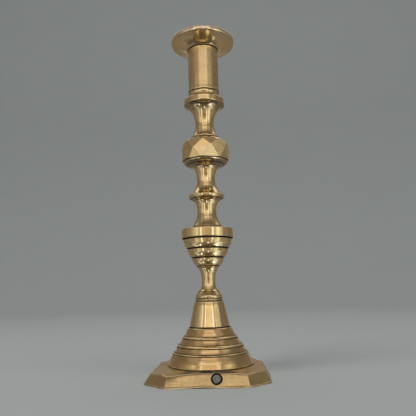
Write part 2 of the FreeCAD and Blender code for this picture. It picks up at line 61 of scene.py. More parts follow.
OUTLINE = {
    "stepped_foot": [
        ("P", (25.5, 3.6)), ("L", (27.6, 3.6)), ("L", (28.0, 4.0)), ("H", (28.0, 9.42)), ("L", (33.3, 9.42)),
        ("A", (34.15, 9.9), (34.1, 10.9)), ("L", (33.25, 13.3)),
        ("S", [(32.3, 15.6), (31.15, 17.9), (30.75, 18.6)]), ("L", (30.35, 18.8)), ("L", (30.4, 19.0)), ("A", (30.05, 19.55), (29.4, 19.75)), ("L", (28.85, 20.0)),
        ("S", [(28.25, 21.2), (27.5, 23.1), (27.25, 23.75)]), ("L", (26.85, 23.95)), ("L", (26.95, 24.15)), ("A", (26.7, 25.15), (26.05, 25.65)), ("L", (25.3, 25.9)), ("L", (24.95, 26.35)),
        ("S", [(24.1, 27.6), (23.1, 29.3), (22.75, 30.1)]), ("L", (22.35, 30.3)), ("L", (22.45, 30.5)), ("A", (22.15, 31.5), (21.5, 31.95)), ("L", (20.85, 32.2)), ("L", (20.5, 32.75)),
        ("S", [(20.15, 33.6), (19.35, 35.6), (18.45, 37.3)]), ("A", (17.95, 38.2), (17.2, 38.6)),
        ("L", (14.55, 38.6)), ("H", (14.55, 32.7)), ("H", (12.5, 32.7)), ("H", (12.5, 30.2)), ("L", (18.2, 29.4)),
        ("L", (22.6, 24.2)), ("L", (25.5, 17.5)), ("L", (25.5, 3.6))],
    "bell_cone": [
        ("P", (14.5, 33.0)), ("H", (14.5, 38.6)), ("L", (15.7, 38.6)), ("L", (15.9, 39.05)), ("L", (16.7, 39.45)),
        ("S", [(16.05, 42.2), (15.3, 45.5), (14.5, 49.2), (13.6, 53.5), (12.9, 56.6), (12.3, 58.65)]), ("A", (12.1, 59.2), (11.6, 59.35)),
        ("L", (10.9, 59.65)), ("A", (11.35, 60.5), (10.95, 61.35)), ("L", (10.75, 61.7)), ("L", (10.95, 62.05)),
        ("A", (11.4, 63.3), (10.75, 64.8)), ("S", [(10.0, 65.9), (9.4, 66.7)]), ("L", (8.9, 67.3)),
        ("L", (4.55, 67.3)), ("H", (4.55, 60.5)), ("H", (2.75, 60.5)), ("H", (2.75, 54.5)), ("L", (10.5, 50.0)), ("L", (12.5, 47.0)), ("L", (12.5, 33.0)), ("L", (14.5, 33.0))],
    "lower_neck": [
        ("P", (4.5, 60.8)), ("H", (4.5, 67.3)), ("L", (8.45, 67.3)), ("L", (8.7, 67.65)),
        ("S", [(7.7, 68.6), (6.7, 70.2), (6.0, 72.6), (5.75, 75.5), (5.8, 78.0), (6.1, 80.6), (6.8, 83.4), (8.0, 85.9), (9.3, 87.6)]),
        ("L", (9.4, 88.3)), ("L", (4.5, 88.3)), ("H", (4.5, 94.8)), ("H", (2.75, 94.8)), ("H", (2.75, 60.8)), ("H", (4.5, 60.8))],
    "beehive_knop": [
        ("P", (4.55, 88.3)), ("L", (9.75, 88.3)), ("L", (10.55, 88.75)), ("S", [(11.75, 90.3), (12.85, 92.2), (13.6, 94.2)]), ("L", (13.6, 94.75)),
        ("L", (12.3, 94.95)), ("L", (12.6, 95.4)), ("L", (14.2, 95.55)), ("S", [(15.6, 97.4), (16.75, 99.5), (17.45, 101.8)]), ("L", (17.4, 102.5)),
        ("L", (15.9, 102.65)), ("L", (16.2, 103.1)), ("L", (17.9, 103.25)), ("S", [(19.3, 105.2), (20.35, 107.6), (20.95, 110.0)]), ("L", (20.9, 110.7)),
        ("L", (19.3, 110.85)), ("L", (19.6, 111.35)), ("L", (21.5, 111.5)), ("A", (21.98, 111.7), (22.12, 112.25)), ("L", (22.17, 118.35)), ("A", (22.0, 118.9), (21.5, 119.1)),
        ("L", (5.05, 119.1)), ("H", (5.05, 112.3)), ("H", (2.75, 112.3)), ("H", (2.75, 95.1)), ("H", (4.55, 95.1)), ("H", (4.55, 88.3))],
    "lower_baluster": spigot(119.1) + [
        ("L", (13.95, 119.1)), ("L", (14.05, 119.7)), ("L", (13.85, 120.5)), ("L", (13.3, 120.65)), ("L", (13.2, 120.95)),
        ("S", [(13.05, 121.35), (12.1, 123.0), (10.9, 125.2), (9.7, 127.8), (8.75, 130.6), (8.3, 133.6), (8.35, 136.4), (8.8, 139.0), (9.8, 141.4), (11.2, 143.6), (12.9, 144.85)]),
        ("L", (13.4, 145.4))] + socket(145.4) + [("H", (2.75, 112.6)), ("H", (5.0, 112.6))],
    "middle_baluster": spigot(145.4) + [
        ("L", (13.8, 145.4)), ("A", (15.1, 146.3), (15.5, 147.55)), ("A", (15.3, 148.45), (14.6, 148.95)),
        ("S", [(13.0, 150.1), (11.4, 151.9), (9.9, 154.2), (8.8, 156.8), (8.15, 159.6), (8.0, 162.5), (8.15, 165.4), (8.75, 168.0), (9.8, 170.9), (11.6, 173.3), (14.0, 174.6), (15.5, 174.9)]),
        ("L", (15.1, 175.1)), ("L", (15.1, 175.45)), ("L", (16.4, 175.6)), ("A", (18.3, 176.6), (19.5, 177.95)), ("L", (19.1, 178.5))] + socket(178.5) + [("H", (2.75, 138.9)), ("H", (5.0, 138.9))],
    "diamond_knop": spigot(178.5) + [
        ("L", (19.3, 178.5)), ("L", (20.3, 179.05)), ("S", [(21.1, 183.0), (21.45, 187.5), (20.7, 192.0), (18.9, 195.2), (16.3, 197.0)]),
        ("L", (13.2, 197.6)), ("L", (12.4, 197.9))] + socket(197.9) + [("H", (2.75, 172.0)), ("H", (5.0, 172.0))],
    "upper_baluster": spigot(197.9) + [
        ("L", (12.2, 197.9)), ("L", (11.75, 198.5)), ("L", (11.65, 199.0)), ("A", (12.2, 200.05), (11.6, 201.0)), ("L", (11.05, 201.2)), ("L", (10.98, 201.55)),
        ("S", [(10.6, 202.3), (10.0, 203.8), (9.15, 206.6), (8.5, 209.6), (8.3, 212.6), (8.65, 216.4), (9.45, 219.8), (10.85, 223.0), (12.95, 226.0), (15.6, 228.4), (17.0, 229.25)]),
        ("L", (17.55, 229.5)), ("A", (17.87, 229.85), (17.92, 230.4)), ("L", (17.82, 233.7)), ("A", (17.6, 234.5), (17.0, 234.95)),
        ("S", [(15.9, 235.6), (14.5, 236.35), (13.65, 237.3), (13.6, 238.3)]), ("A", (13.95, 239.6), (13.75, 241.0)), ("L", (13.2, 241.4))]
        + socket(241.4) + [("H", (2.75, 191.4)), ("H", (5.0, 191.4))],
    "candle_nozzle": spigot(241.4) + [
        ("L", (13.0, 241.4)), ("A", (13.7, 241.75), (13.85, 242.4)), ("A", (13.85, 243.4), (13.65, 244.2)), ("L", (13.6, 248.0)), ("L", (13.6, 282.15)), ("L", (13.25, 282.5)),
        ("L", (12.55, 282.5)), ("H", (12.55, 277.5)), ("L", (11.4, 277.5)), ("L", (11.4, 246.2)), ("L", (10.6, 246.2)), ("L", (10.6, 244.4)), ("L", (2.75, 244.4)), ("H", (2.75, 234.9)), ("H", (5.0, 234.9))],
    "drip_pan": [
        ("P", (11.4, 277.5)), ("H", (12.5, 277.5)), ("H", (12.5, 282.5)), ("L", (13.6, 282.5)), ("L", (14.0, 282.8)),
        ("S", [(14.7, 283.3), (15.9, 284.1), (17.8, 285.05), (20.6, 286.2), (24.0, 287.35), (26.7, 288.1)]), ("L", (27.5, 288.4)),
        ("A", (28.2, 288.75), (28.5, 289.4)), ("L", (28.5, 291.1)), ("A", (27.6, 292.0), (26.76, 291.43)),
        ("S", [(26.1, 290.2), (24.5, 289.4), (20.5, 288.8), (17.0, 287.9), (14.9, 287.6)]), ("A", (13.6, 287.9), (13.1, 288.9)),
        ("L", (13.1, 290.6)), ("A", (12.6, 291.0), (12.1, 291.0)), ("L", (11.4, 291.0)), ("L", (11.4, 277.5))],
    "ejector_rod": [("P", (0.0, 4.5)), ("H", (1.6, 4.5)), ("H", (1.6, 6.5)), ("L", (2.4, 6.5)), ("H", (2.4, 244.45)), ("H", (1.6, 244.45)), ("L", (1.6, 245.9)), ("A", (1.2, 246.05), (0.0, 246.1))],
    "pusher_disc": [("P", (1.65, 244.45)), ("L", (10.0, 244.45)), ("L", (10.3, 244.75)), ("L", (10.3, 245.65)), ("L", (9.9, 246.05)), ("L", (7.0, 246.05)), ("L", (6.8, 245.85)), ("L", (6.5, 246.05)), ("L", (1.65, 246.05)), ("L", (1.65, 244.45))],
    "push_button": [("P", (0.0, 3.5)), ("A", (5.0, 3.85), (8.4, 4.6)), ("A", (8.9, 4.85), (9.0, 5.2)), ("L", (8.6, 5.6)), ("L", (4.4, 5.7)), ("L", (3.8, 6.5)), ("L", (1.65, 6.5)), ("L", (1.65, 4.5)), ("L", (0.0, 4.5))],
}


# --- outline tools ----------------------------------------------------------
def natural_spline(pts, spacing):
    """Points along a smooth curve through pts, on chord-length parameters."""
    p = np.array(pts, float)
    t = np.r_[0, np.cumsum(np.hypot(*np.diff(p, axis=0).T))]
    n = len(t)
    h = np.diff(t)
    a = np.zeros((n, n))
    a[0, 0] = a[-1, -1] = 1
    b = np.zeros((n, 2))
    for i in range(1, n - 1):
        a[i, i - 1], a[i, i], a[i, i + 1] = h[i - 1], 2 * (h[i - 1] + h[i]), h[i]
        b[i] = 6 * ((p[i + 1] - p[i]) / h[i] - (p[i] - p[i - 1]) / h[i - 1])
    m = np.linalg.solve(a, b)
    out = []
    for s in np.linspace(0, t[-1], max(4, int(t[-1] / spacing)))[1:]:
        i = min(int(np.searchsorted(t, s, side="right")) - 1, n - 2)
        d, e = t[i + 1] - s, s - t[i]
        q = (m[i] * d ** 3 + m[i + 1] * e ** 3) / (6 * h[i]) + (p[i] / h[i] - m[i] * h[i] / 6) * d + (p[i + 1] / h[i] - m[i + 1] * h[i] / 6) * e
        out.append(tuple(q))
    return out


def arc(p0, pm, p1, spacing):
    (x0, y0), (x1, y1), (x2, y2) = p0, pm, p1
    d = 2 * (x0 * (y1 - y2) + x1 * (y2 - y0) + x2 * (y0 - y1))
    ux = ((x0 * x0 + y0 * y0) * (y1 - y2) + (x1 * x1 + y1 * y1) * (y2 - y0) + (x2 * x2 + y2 * y2) * (y0 - y1)) / d
    uy = ((x0 * x0 + y0 * y0) * (x2 - x1) + (x1 * x1 + y1 * y1) * (x0 - x2) + (x2 * x2 + y2 * y2) * (x1 - x0)) / d
    a0, a1, a2 = [math.atan2(q[1] - uy, q[0] - ux) for q in (p0, pm, p1)]
    rad = math.hypot(x0 - ux, y0 - uy)
    b1, b2 = (a1 - a0) % (2 * math.pi), (a2 - a0) % (2 * math.pi)
    span = b2 if b1 <= b2 else b2 - 2 * math.pi
    n = max(5, int(abs(span) * rad / spacing))
    return [(ux + rad * math.cos(a0 + span * k / n), uy + rad * math.sin(a0 + span * k / n)) for k in range(1, n + 1)]


def fine_outline(path, spacing=0.06):
    """The outline as close points, with a flag for the stretches that nobody sees."""
    pts, hid = [], []

    def line(a, b, h):
        n = max(1, int(math.dist(a, b) / spacing))
        for k in range(1, n + 1):
            pts.append((a[0] + (b[0] - a[0]) * k / n, a[1] + (b[1] - a[1]) * k / n))
            hid.append(h)

    here = None
    for step in path:
        if step[0] == "P":
            here = step[1]
            pts.append(here)
            hid.append(False)
        elif step[0] in "LH":
            line(here, step[1], step[0] == "H")
            here = step[1]
        elif step[0] == "A":
            q = arc(here, step[1], step[2], spacing)
            pts += q
            hid += [False] * len(q)
            here = step[2]
        else:
            q = natural_spline([here] + step[1], spacing)
            pts += q
            hid += [False] * len(q)
            here = step[1][-1]
    return np.array(pts), np.array(hid)


def soften(p, closed, sigma=2.0):
    """Rounds every corner a little, as polishing does."""
    k = np.exp(-0.5 * (np.arange(-8, 9) / sigma) ** 2)
    k /= k.sum()
    if closed:
        q = np.vstack([p[-8:], p, p[:8]])
    else:
        q = np.vstack([[p[0]] * 8, p, [p[-1]] * 8])
    out = np.stack([np.convolve(q[:, i], k, "valid") for i in range(2)], 1)
    if not closed:
        out[0], out[-1] = p[0], p[-1]
    return out


def thin(p, hid, tol=0.0022, gap=0.55):
    """Keeps the points that the shape needs."""
    keep = np.zeros(len(p), bool)
    keep[0] = keep[-1] = True
    stack = [(0, len(p) - 1)]
    while stack:
        i, j = stack.pop()
        if j - i < 2:
            continue
        a, b = p[i], p[j]
        d = b - a
        n = math.hypot(*d)
        q = p[i + 1:j] - a
        dev = np.abs(q[:, 0] * d[1] - q[:, 1] * d[0]) / n if n > 1e-9 else np.hypot(q[:, 0], q[:, 1])
        k = int(dev.argmax())
        h = hid[i:j + 1].mean() > 0.5
        if dev[k] > (0.03 if h else tol) or n > (60 if h else gap):
            k = k + i + 1 if dev[k] > (0.03 if h else tol) else (i + j) // 2
            keep[k] = True
            stack += [(i, k), (k, j)]
    return keep


def field(seed, scale, n=14):
    """A smooth random field over points in mm, about -1 to 1, made of plane waves."""
    g = np.random.default_rng(seed)
    k = g.normal(size=(n, 3))
    k *= (2 * math.pi / scale) * (0.6 + 0.8 * g.random((n, 1))) / np.linalg.norm(k, axis=1)[:, None]
    ph = g.random(n) * 2 * math.pi

    def f(p):
        return np.cos(p @ k.T + ph).sum(1) / math.sqrt(n / 2) * 0.5

    return f


WAVE_A = field(11, 9.0)
WAVE_B = field(12, 4.0)
g_dent = np.random.default_rng(5)

# crevice test: how small a ball fits against the assembled outside at each point
ALL_OUT = []
for _name, _path in OUTLINE.items():
    if _name in ("ejector_rod", "pusher_disc", "push_button"):
        continue
    _p, _h = fine_outline(_path, 0.2)
    ALL_OUT.append(_p[~_h])
ALL_OUT.append(np.stack([np.linspace(34.2, 42.0, 60), np.full(60, 9.4)], 1))
ALL_OUT = np.vstack(ALL_OUT)


def crevice(p, n):
    """0 on open surfaces to 1 deep in a groove."""
    out = np.zeros(len(p))
    for i in range(len(p)):
        d = ALL_OUT - p[i]
        dist2 = (d * d).sum(1)
        dn = d @ n[i]
        m = (dn > 0.02) & (dist2 > 0.09) & (dist2 < 64)
        rad = (dist2[m] / (2 * dn[m])).min() if m.any() else 99.0
        out[i] = np.clip((2.6 - rad) / 2.2, 0, 1)
    return out


def new_object(name, verts, faces, node, body, mat, attrs=None, smooth=True):
    me = bpy.data.meshes.new(name)
    me.from_pydata(verts.tolist() if hasattr(verts, "tolist") else verts, [], faces)
    me.validate()
    me.update()
    ob = bpy.data.objects.new(name, me)
    bpy.context.scene.collection.objects.link(ob)
    me.polygons.foreach_set("use_smooth", [smooth] * len(me.polygons))
    for key, val in (attrs or {}).items():
        at = me.attributes.new(key, "FLOAT", "POINT")
        at.data.foreach_set("value", np.asarray(val, np.float32))
    me.materials.append(mat)
    if node:
        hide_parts(node)
    if body:
        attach(ob, body)
    return ob


# painted highlight, with rubbing: lighter bands along the pan's rim and the lips of the foot's and bell's steps, as
# (height, width, strength)
LIP_HIGHLIGHTS = {"drip_pan": [(290.2, 1.4, 1.0)], "stepped_foot": [(10.35, 0.45, 0.75), (19.4, 0.3, 0.5), (25.2, 0.4, 0.5), (31.6, 0.4, 0.5), (38.3, 0.3, 0.4)], "bell_cone": [(39.3, 0.25, 0.4)]}
# painted shade: how strongly each piece's downward-facing undersides are darkened
UNDER_SHADE = {"lower_neck": 0.8, "lower_baluster": 0.9, "middle_baluster": 1.0, "upper_baluster": 1.0, "beehive_knop": 0.15}


def revolve(name, mat, body="candlestick", seg=SEG, wave=1.0, radial=None, outside=None):
    """A closed mesh turned from an outline, with the small unevenness of hand-finished brass."""
    raw, hid = fine_outline(OUTLINE[name])
    closed = math.dist(raw[0], raw[-1]) < 1e-6
    if closed:
        raw, hid = raw[:-1], hid[:-1]
    p = soften(raw, closed)
    on_axis = (not closed)
    if on_axis:
        p[0, 0] = p[-1, 0] = 0.0
    keep = thin(p, hid) if not closed else thin(np.vstack([p, p[:1]]), np.r_[hid, hid[:1]])[:-1]
    t = np.gradient(p, axis=0) if not closed else (np.roll(p, -1, 0) - np.roll(p, 1, 0))
    ln = np.hypot(t[:, 0], t[:, 1]) + 1e-9
    nrm = np.stack([t[:, 1] / ln, -t[:, 0] / ln], 1)
    if radial is not None:
        keep |= radial(p, nrm)
    p, nrm, hid = p[keep], nrm[keep], hid[keep]
    # patina with painted shade: grooves and inner corners are darkened by how tight they are
    dirt_and_shade = crevice(p, nrm)
    if name == "bell_cone":
        dirt_and_shade[np.abs(p[:, 1] - 61.7) < 0.8] *= 0.75
        dirt_and_shade[np.abs(p[:, 1] - 59.5) < 0.8] *= 0.72
    # darker rings on the underside of the pan, one just inside the rim and one further in
    if name == "drip_pan":
        dirt_and_shade = np.maximum(dirt_and_shade, 0.62 * np.exp(-((p[:, 0] - 27.2) / 0.45) ** 2) * (p[:, 1] < 288.7))
        dirt_and_shade = np.maximum(dirt_and_shade, 0.40 * np.exp(-((p[:, 0] - 24.6) / 0.35) ** 2) * (p[:, 1] < 288.7))
    if name == "beehive_knop":
        dirt_and_shade = np.clip(dirt_and_shade * 1.3, 0, 1)
    # painted shade: the top of the knop is darkened towards its joint with the upper baluster
    if name == "diamond_knop":
        dirt_and_shade = np.maximum(dirt_and_shade, 0.80 * np.clip((16.5 - p[:, 0]) / 2.5, 0, 1) * (p[:, 1] > 196.6))
    if name == "stepped_foot":
        dirt_and_shade[(p[:, 1] < 12.0) & (p[:, 0] > 30)] *= 0.15
    n = len(p)
    lip_highlight = np.zeros(n)
    for z0, w0, k0 in LIP_HIGHLIGHTS.get(name, ()):
        lip_highlight = np.maximum(lip_highlight, k0 * np.exp(-((p[:, 1] - z0) / w0) ** 2) * (p[:, 0] > 15))
    # painted shade: surfaces facing downwards, outside a 7 mm radius, are darkened
    over = np.clip((-nrm[:, 1] - 0.42) / 0.4, 0, 1) * (p[:, 0] > 7) * UNDER_SHADE.get(name, 0.0)
    th = np.linspace(0, 2 * math.pi, seg, endpoint=False)
    co, si = np.cos(th), np.sin(th)
    rr, zz = p[:, 0][:, None], p[:, 1][:, None]
    X = np.stack([rr * co, rr * si, np.broadcast_to(zz, (n, seg))], -1).reshape(-1, 3)
    N = np.stack([nrm[:, 0][:, None] * co, nrm[:, 0][:, None] * si, np.broadcast_to(nrm[:, 1][:, None], (n, seg))], -1).reshape(-1, 3)
    lift = wave * (0.011 * WAVE_A(X) + 0.0045 * WAVE_B(X))
    vis = np.repeat(~hid, seg) & (X[:, 0] ** 2 + X[:, 1] ** 2 > 7.0 ** 2)
    X = X + N * (lift * vis)[:, None]
    if outside is not None:
        X = outside(X, N, np.repeat(np.arange(n), seg), p)
    faces, caps = [], []
    idx = np.arange(n * seg).reshape(n, seg)
    rows = n if closed else n - 1
    for i in range(rows):
        a, b = idx[i], idx[(i + 1) % n]
        if not closed and i == 0:
            continue
        if not closed and i == n - 2:
            continue
        for j in range(seg):
            k = (j + 1) % seg
            faces.append((int(a[j]), int(a[k]), int(b[k]), int(b[j])))
    dd = np.repeat(dirt_and_shade, seg)
    oo = np.repeat(over, seg)
    ww = np.repeat(lip_highlight, seg) * np.clip(0.6 + 0.6 * WAVE_A(X * 0.8), 0, 1)
    if not closed:
        # both ends lie on the axis: one point each, with a fan
        use = np.arange(seg, (n - 1) * seg)
        remap = {int(v): i for i, v in enumerate(use)}
        V = [X[v] for v in use] + [X[0], X[(n - 1) * seg]]
        A, B = len(V) - 2, len(V) - 1
        faces = [tuple(remap[v] for v in f) for f in faces]
        first, last = [remap[int(v)] for v in idx[1]], [remap[int(v)] for v in idx[n - 2]]
        for j in range(seg):
            k = (j + 1) % seg
            faces.append((A, first[k], first[j]))
            faces.append((B, last[j], last[k]))
        X = np.array(V)
        dd = np.r_[dd[use], dd[0], dd[-1]]
        oo = np.r_[oo[use], oo[0], oo[-1]]
        ww = np.r_[ww[use], ww[0], ww[-1]]
    return new_object(name + "_turned", X * MM, faces, name, body, mat, {"grime": dd, "tarnish": oo, "wear": ww})


# ---------------------------------------------------------------------------
# Materials
# ---------------------------------------------------------------------------
class Tree:
    def __init__(self, name):
        self.mat = bpy.data.materials.new(name)
        self.mat.use_nodes = True
        self.nt = self.mat.node_tree
        self.nt.nodes.clear()
        self.out = self.add("ShaderNodeOutputMaterial")
        self.bsdf = self.add("ShaderNodeBsdfPrincipled")
        self.link(self.bsdf.outputs[0], self.out.inputs["Surface"])
        self.tc = self.add("ShaderNodeTexCoord")

    def add(self, kind, **kw):
        n = self.nt.nodes.new(kind)
        for k, v in kw.items():
            setattr(n, k, v)
        return n

    def link(self, a, b):
        self.nt.links.new(a, b)

    def coords(self, scale):
        m = self.add("ShaderNodeMapping")
        m.inputs["Scale"].default_value = scale
        self.link(self.tc.outputs["Object"], m.inputs["Vector"])
        return m.outputs[0]

    def noise(self, scale, size=1.0, detail=4.0, rough=0.55, distort=0.0):
        n = self.add("ShaderNodeTexNoise")
        n.inputs["Scale"].default_value = size
        n.inputs["Detail"].default_value = detail
        n.inputs["Roughness"].default_value = rough
        n.inputs["Distortion"].default_value = distort
        self.link(self.coords(scale), n.inputs["Vector"])
        return n.outputs["Fac"]

    def ramp(self, src, stops, interp="LINEAR"):
        r = self.add("ShaderNodeValToRGB")
        r.color_ramp.interpolation = interp
        e = r.color_ramp.elements
        while len(e) < len(stops):
            e.new(0.5)
        for el, (pos, col) in zip(e, stops):
            el.position = pos
            el.color = (col, col, col, 1) if not hasattr(col, "__len__") else (*col, 1)
        self.link(src, r.inputs[0])
        return r.outputs[0]

    def math(self, op, a, b=None, clamp=False):
        m = self.add("ShaderNodeMath", operation=op, use_clamp=clamp)
        for i, v in enumerate((a, b)):
            if v is None:
                continue
            if isinstance(v, (int, float)):
                m.inputs[i].default_value = v
            else:
                self.link(v, m.inputs[i])
        return m.outputs[0]

    def mix(self, fac, a, b, blend="MIX"):
        m = self.add("ShaderNodeMix", data_type="RGBA", blend_type=blend)
        for i, v in ((0, fac), (6, a), (7, b)):
            if isinstance(v, (int, float)):
                m.inputs[i].default_value = v
            elif hasattr(v, "__len__"):
                m.inputs[i].default_value = (*v, 1)
            else:
                self.link(v, m.inputs[i])
        return m.outputs[2]

    def attr(self, name):
        a = self.add("ShaderNodeAttribute")
        a.attribute_name = name
        return a.outputs["Fac"]

    def bump(self, src, strength, dist, prev=None):
        b = self.add("ShaderNodeBump")
        b.inputs["Strength"].default_value = strength
        b.inputs["Distance"].default_value = dist
        self.link(src, b.inputs["Height"])
        if prev is not None:
            self.link(prev, b.inputs["Normal"])
        return b.outputs[0]




def brass(name, light, dark, rough, lathe=0.0, brush=None, stain=0.25, scratch=0.15, grime=1.0, pit=0.2, bright=(1.0, 0.84, 0.52), dulled=0.75):
    """Aged polished brass. lathe is the depth of fine turning marks, brush a
    direction and depth of hand-brushed strokes, stain how blotchy it is, bright
    and dulled the colour of edges lightened by rubbing and by painted highlight, and how matt they are."""
    t = Tree(name)
    blot = t.noise((70, 70, 70), 1.0, 5.0, 0.6, 0.4)
    fine = t.noise((520, 520, 520), 1.0, 3.0, 0.6)
    col = t.mix(t.ramp(blot, [(0.38, 0.0), (0.66, 1.0)]), light, [l * (1 - stain) + d * stain for l, d in zip(light, dark)])
    col = t.mix(t.math("MULTIPLY", t.ramp(fine, [(0.50, 0.0), (0.72, 1.0)]), 0.35 * stain + 0.05), col, dark)
    if brush:
        stroke = t.noise(brush[0], 1.0, 3.0, 0.65, 0.15)
        col = t.mix(t.math("MULTIPLY", t.ramp(stroke, [(0.42, 0.0), (0.70, 1.0)]), 0.34), col, dark)
    # dark pits and specks
    spot = t.add("ShaderNodeTexVoronoi")
    spot.inputs["Scale"].default_value = 1.0
    t.link(t.coords((430, 430, 430)), spot.inputs["Vector"])
    specks = t.math("MULTIPLY", t.ramp(spot.outputs["Distance"], [(0.05, 1.0), (0.13, 0.0)]), t.ramp(t.noise((150, 150, 150), 1.0, 2.0), [(0.52, 0.0), (0.64, 1.0)]))
    col = t.mix(t.math("MULTIPLY", specks, pit * 2.0, True), col, (0.10, 0.065, 0.03))
    # patina gathers in the grooves, with painted shade on top: brown in the grooves, near black in the deepest
    g0 = t.attr("grime")
    ragged = t.math("ADD", g0, t.math("MULTIPLY", t.math("SUBTRACT", t.noise((300, 300, 300), 1.0, 4.0), 0.5), 0.5))
    g = t.math("MULTIPLY", t.ramp(ragged, [(0.18, 0.0), (0.75, 1.0)]), grime, True)
    col = t.mix(t.math("MULTIPLY", g, 0.70), col, (0.175, 0.125, 0.068))
    deep = t.math("MULTIPLY", t.ramp(ragged, [(0.62, 0.0), (0.95, 1.0)]), grime, True)
    col = t.mix(deep, col, (0.018, 0.013, 0.009))
    # painted shade under the overhangs: surfaces facing downwards are darkened towards a dull brown
    tan = t.math("MULTIPLY", t.attr("tarnish"), t.ramp(t.noise((110, 110, 160), 1.0, 3.0), [(0.25, 0.75), (0.7, 1.0)]))
    col = t.mix(t.math("MULTIPLY", tan, 0.80), col, (0.26, 0.222, 0.155))
    # lighter metal on edges and lips: rubbed by hands and tables, and painted highlight
    wear_highlight = t.math("MULTIPLY", t.attr("wear"), t.ramp(t.noise((160, 160, 160), 1.0, 4.0, 0.65), [(0.34, 0.25), (0.60, 1.0)]), True)
    col = t.mix(wear_highlight, col, bright)
    t.link(col, t.bsdf.inputs["Base Color"])
    t.link(t.math("SUBTRACT", 1.0, t.math("ADD", t.math("MULTIPLY", deep, 0.85), t.math("MULTIPLY", wear_highlight, dulled)), True), t.bsdf.inputs["Metallic"])
    # roughness: smears, dulled patches, rougher in the grooves
    rr = t.math("ADD", t.math("MULTIPLY", t.ramp(t.noise((38, 38, 55), 1.0, 4.0, 0.6, 0.6), [(0.35, 0.0), (0.75, 1.0)]), rough * 0.7), rough * 0.75)
    rr = t.math("ADD", rr, t.math("MULTIPLY", specks, 0.25))
    rr = t.math("ADD", rr, t.math("MULTIPLY", g, 0.42), True)
    t.link(rr, t.bsdf.inputs["Roughness"])
    nrm = None
    if lathe > 0:
        turn = t.noise((12, 12, 2600), 1.0, 3.0, 0.7)
        nrm = t.bump(turn, lathe, 0.00006, nrm)
        turn2 = t.noise((9, 9, 900), 1.0, 2.0, 0.6)
        nrm = t.bump(turn2, lathe * 0.8, 0.00012, nrm)
    if brush:
        nrm = t.bump(stroke, brush[1], 0.00010, nrm)
    if scratch > 0:
        hair = t.noise((90, 1700, 420), 1.0, 2.0, 0.7, 0.8)
        hair2 = t.noise((1500, 130, 700), 1.0, 2.0, 0.7, 0.8)
        nrm = t.bump(t.math("ADD", hair, hair2), scratch, 0.00003, nrm)
    dull = t.noise((240, 240, 240), 1.0, 3.0, 0.6)
    nrm = t.bump(dull, 0.10, 0.00008, nrm)
    nrm = t.bump(t.math("MULTIPLY", specks, -1.0), 0.5, 0.00010, nrm)
    t.link(nrm, t.bsdf.inputs["Normal"])
    return t.mat


LIGHT = (0.905, 0.760, 0.440)
DARK = (0.60, 0.44, 0.21)
M_POLISH = brass("polished_brass", LIGHT, DARK, 0.055, lathe=0.05, stain=0.22, scratch=0.10)
# painted highlight: on the pan the lighter rim colour is near white and stays fully metallic
M_PAN = brass("polished_brass_pan", LIGHT, DARK, 0.055, lathe=0.05, stain=0.22, scratch=0.10, bright=(1.0, 0.97, 0.90), dulled=0.0)
M_NOZZLE = brass("satin_brass_turned", (0.89, 0.735, 0.43), DARK, 0.20, lathe=0.55, stain=0.34, scratch=0.25)
# painted highlight: the knop's lighter edge colour is near white
M_KNOP = brass("satin_brass_filed", (0.92, 0.775, 0.44), DARK, 0.21, brush=((260, 260, 1500), 0.35), stain=0.25, scratch=0.35, grime=0.9, pit=0.55, bright=(1.0, 0.985, 0.86), dulled=0.05)
M_FOOT = brass("hand_polished_brass", (0.93, 0.74, 0.405), (0.62, 0.39, 0.17), 0.10, lathe=0.30, stain=0.45, scratch=0.2)
M_PLINTH = brass("brushed_brass_plinth", (0.96, 0.805, 0.47), (0.52, 0.36, 0.16), 0.25, brush=((90, 900, 1100), 0.5), stain=0.5, scratch=0.35, grime=0.95, pit=0.8, bright=(1.0, 0.90, 0.62), dulled=0.25)
M_INSIDE = brass("tarnished_inner_brass", (0.55, 0.38, 0.18), (0.22, 0.13, 0.06), 0.38, lathe=0.3, stain=0.7, scratch=0.3, grime=0.6, pit=0.8)


def steel():
    t = Tree("drawn_steel")
    n = t.noise((400, 400, 60), 1.0, 4.0)
    col = t.mix(t.ramp(n, [(0.35, 0.0), (0.7, 1.0)]), (0.42, 0.40, 0.37), (0.20, 0.15, 0.11))
    t.link(col, t.bsdf.inputs["Base Color"])
    t.bsdf.inputs["Metallic"].default_value = 0.9
    t.link(t.ramp(n, [(0.3, 0.28), (0.8, 0.55)]), t.bsdf.inputs["Roughness"])
    t.link(t.bump(t.noise((1200, 1200, 60), 1.0, 3.0), 0.3, 0.00005), t.bsdf.inputs["Normal"])
    return t.mat


def plug_metal():
    t = Tree("grey_stopper")
    lump = t.noise((620, 620, 620), 1.0, 5.0, 0.65, 0.4)
    col = t.mix(t.ramp(lump, [(0.30, 0.0), (0.70, 1.0)]), (0.13, 0.122, 0.115), (0.40, 0.38, 0.35))
    # painted shade with soiling: the collar round the head goes near black
    edge = t.attr("grime")
    col = t.mix(edge, col, (0.012, 0.011, 0.012))
    t.link(col, t.bsdf.inputs["Base Color"])
    t.bsdf.inputs["Metallic"].default_value = 0.35
    t.link(t.ramp(lump, [(0.3, 0.30), (0.75, 0.55)]), t.bsdf.inputs["Roughness"])
    t.link(t.bump(lump, 0.9, 0.0007), t.bsdf.inputs["Normal"])
    return t.mat


M_STEEL = steel()
M_PLUG = plug_metal()

# ---------------------------------------------------------------------------
# Turned pieces
# ---------------------------------------------------------------------------
revolve("stepped_foot", M_FOOT)
for _n in ("bell_cone", "lower_neck", "beehive_knop", "lower_baluster", "middle_baluster", "upper_baluster"):
    revolve(_n, M_POLISH)
revolve("drip_pan", M_PAN)
revolve("candle_nozzle", M_NOZZLE, wave=0.6)
revolve("ejector_rod", M_STEEL, "ejector", seg=48, wave=0.3)
revolve("pusher_disc", M_INSIDE, "ejector", seg=96, wave=0.5)
revolve("push_button", M_INSIDE, "ejector", seg=96, wave=0.5)

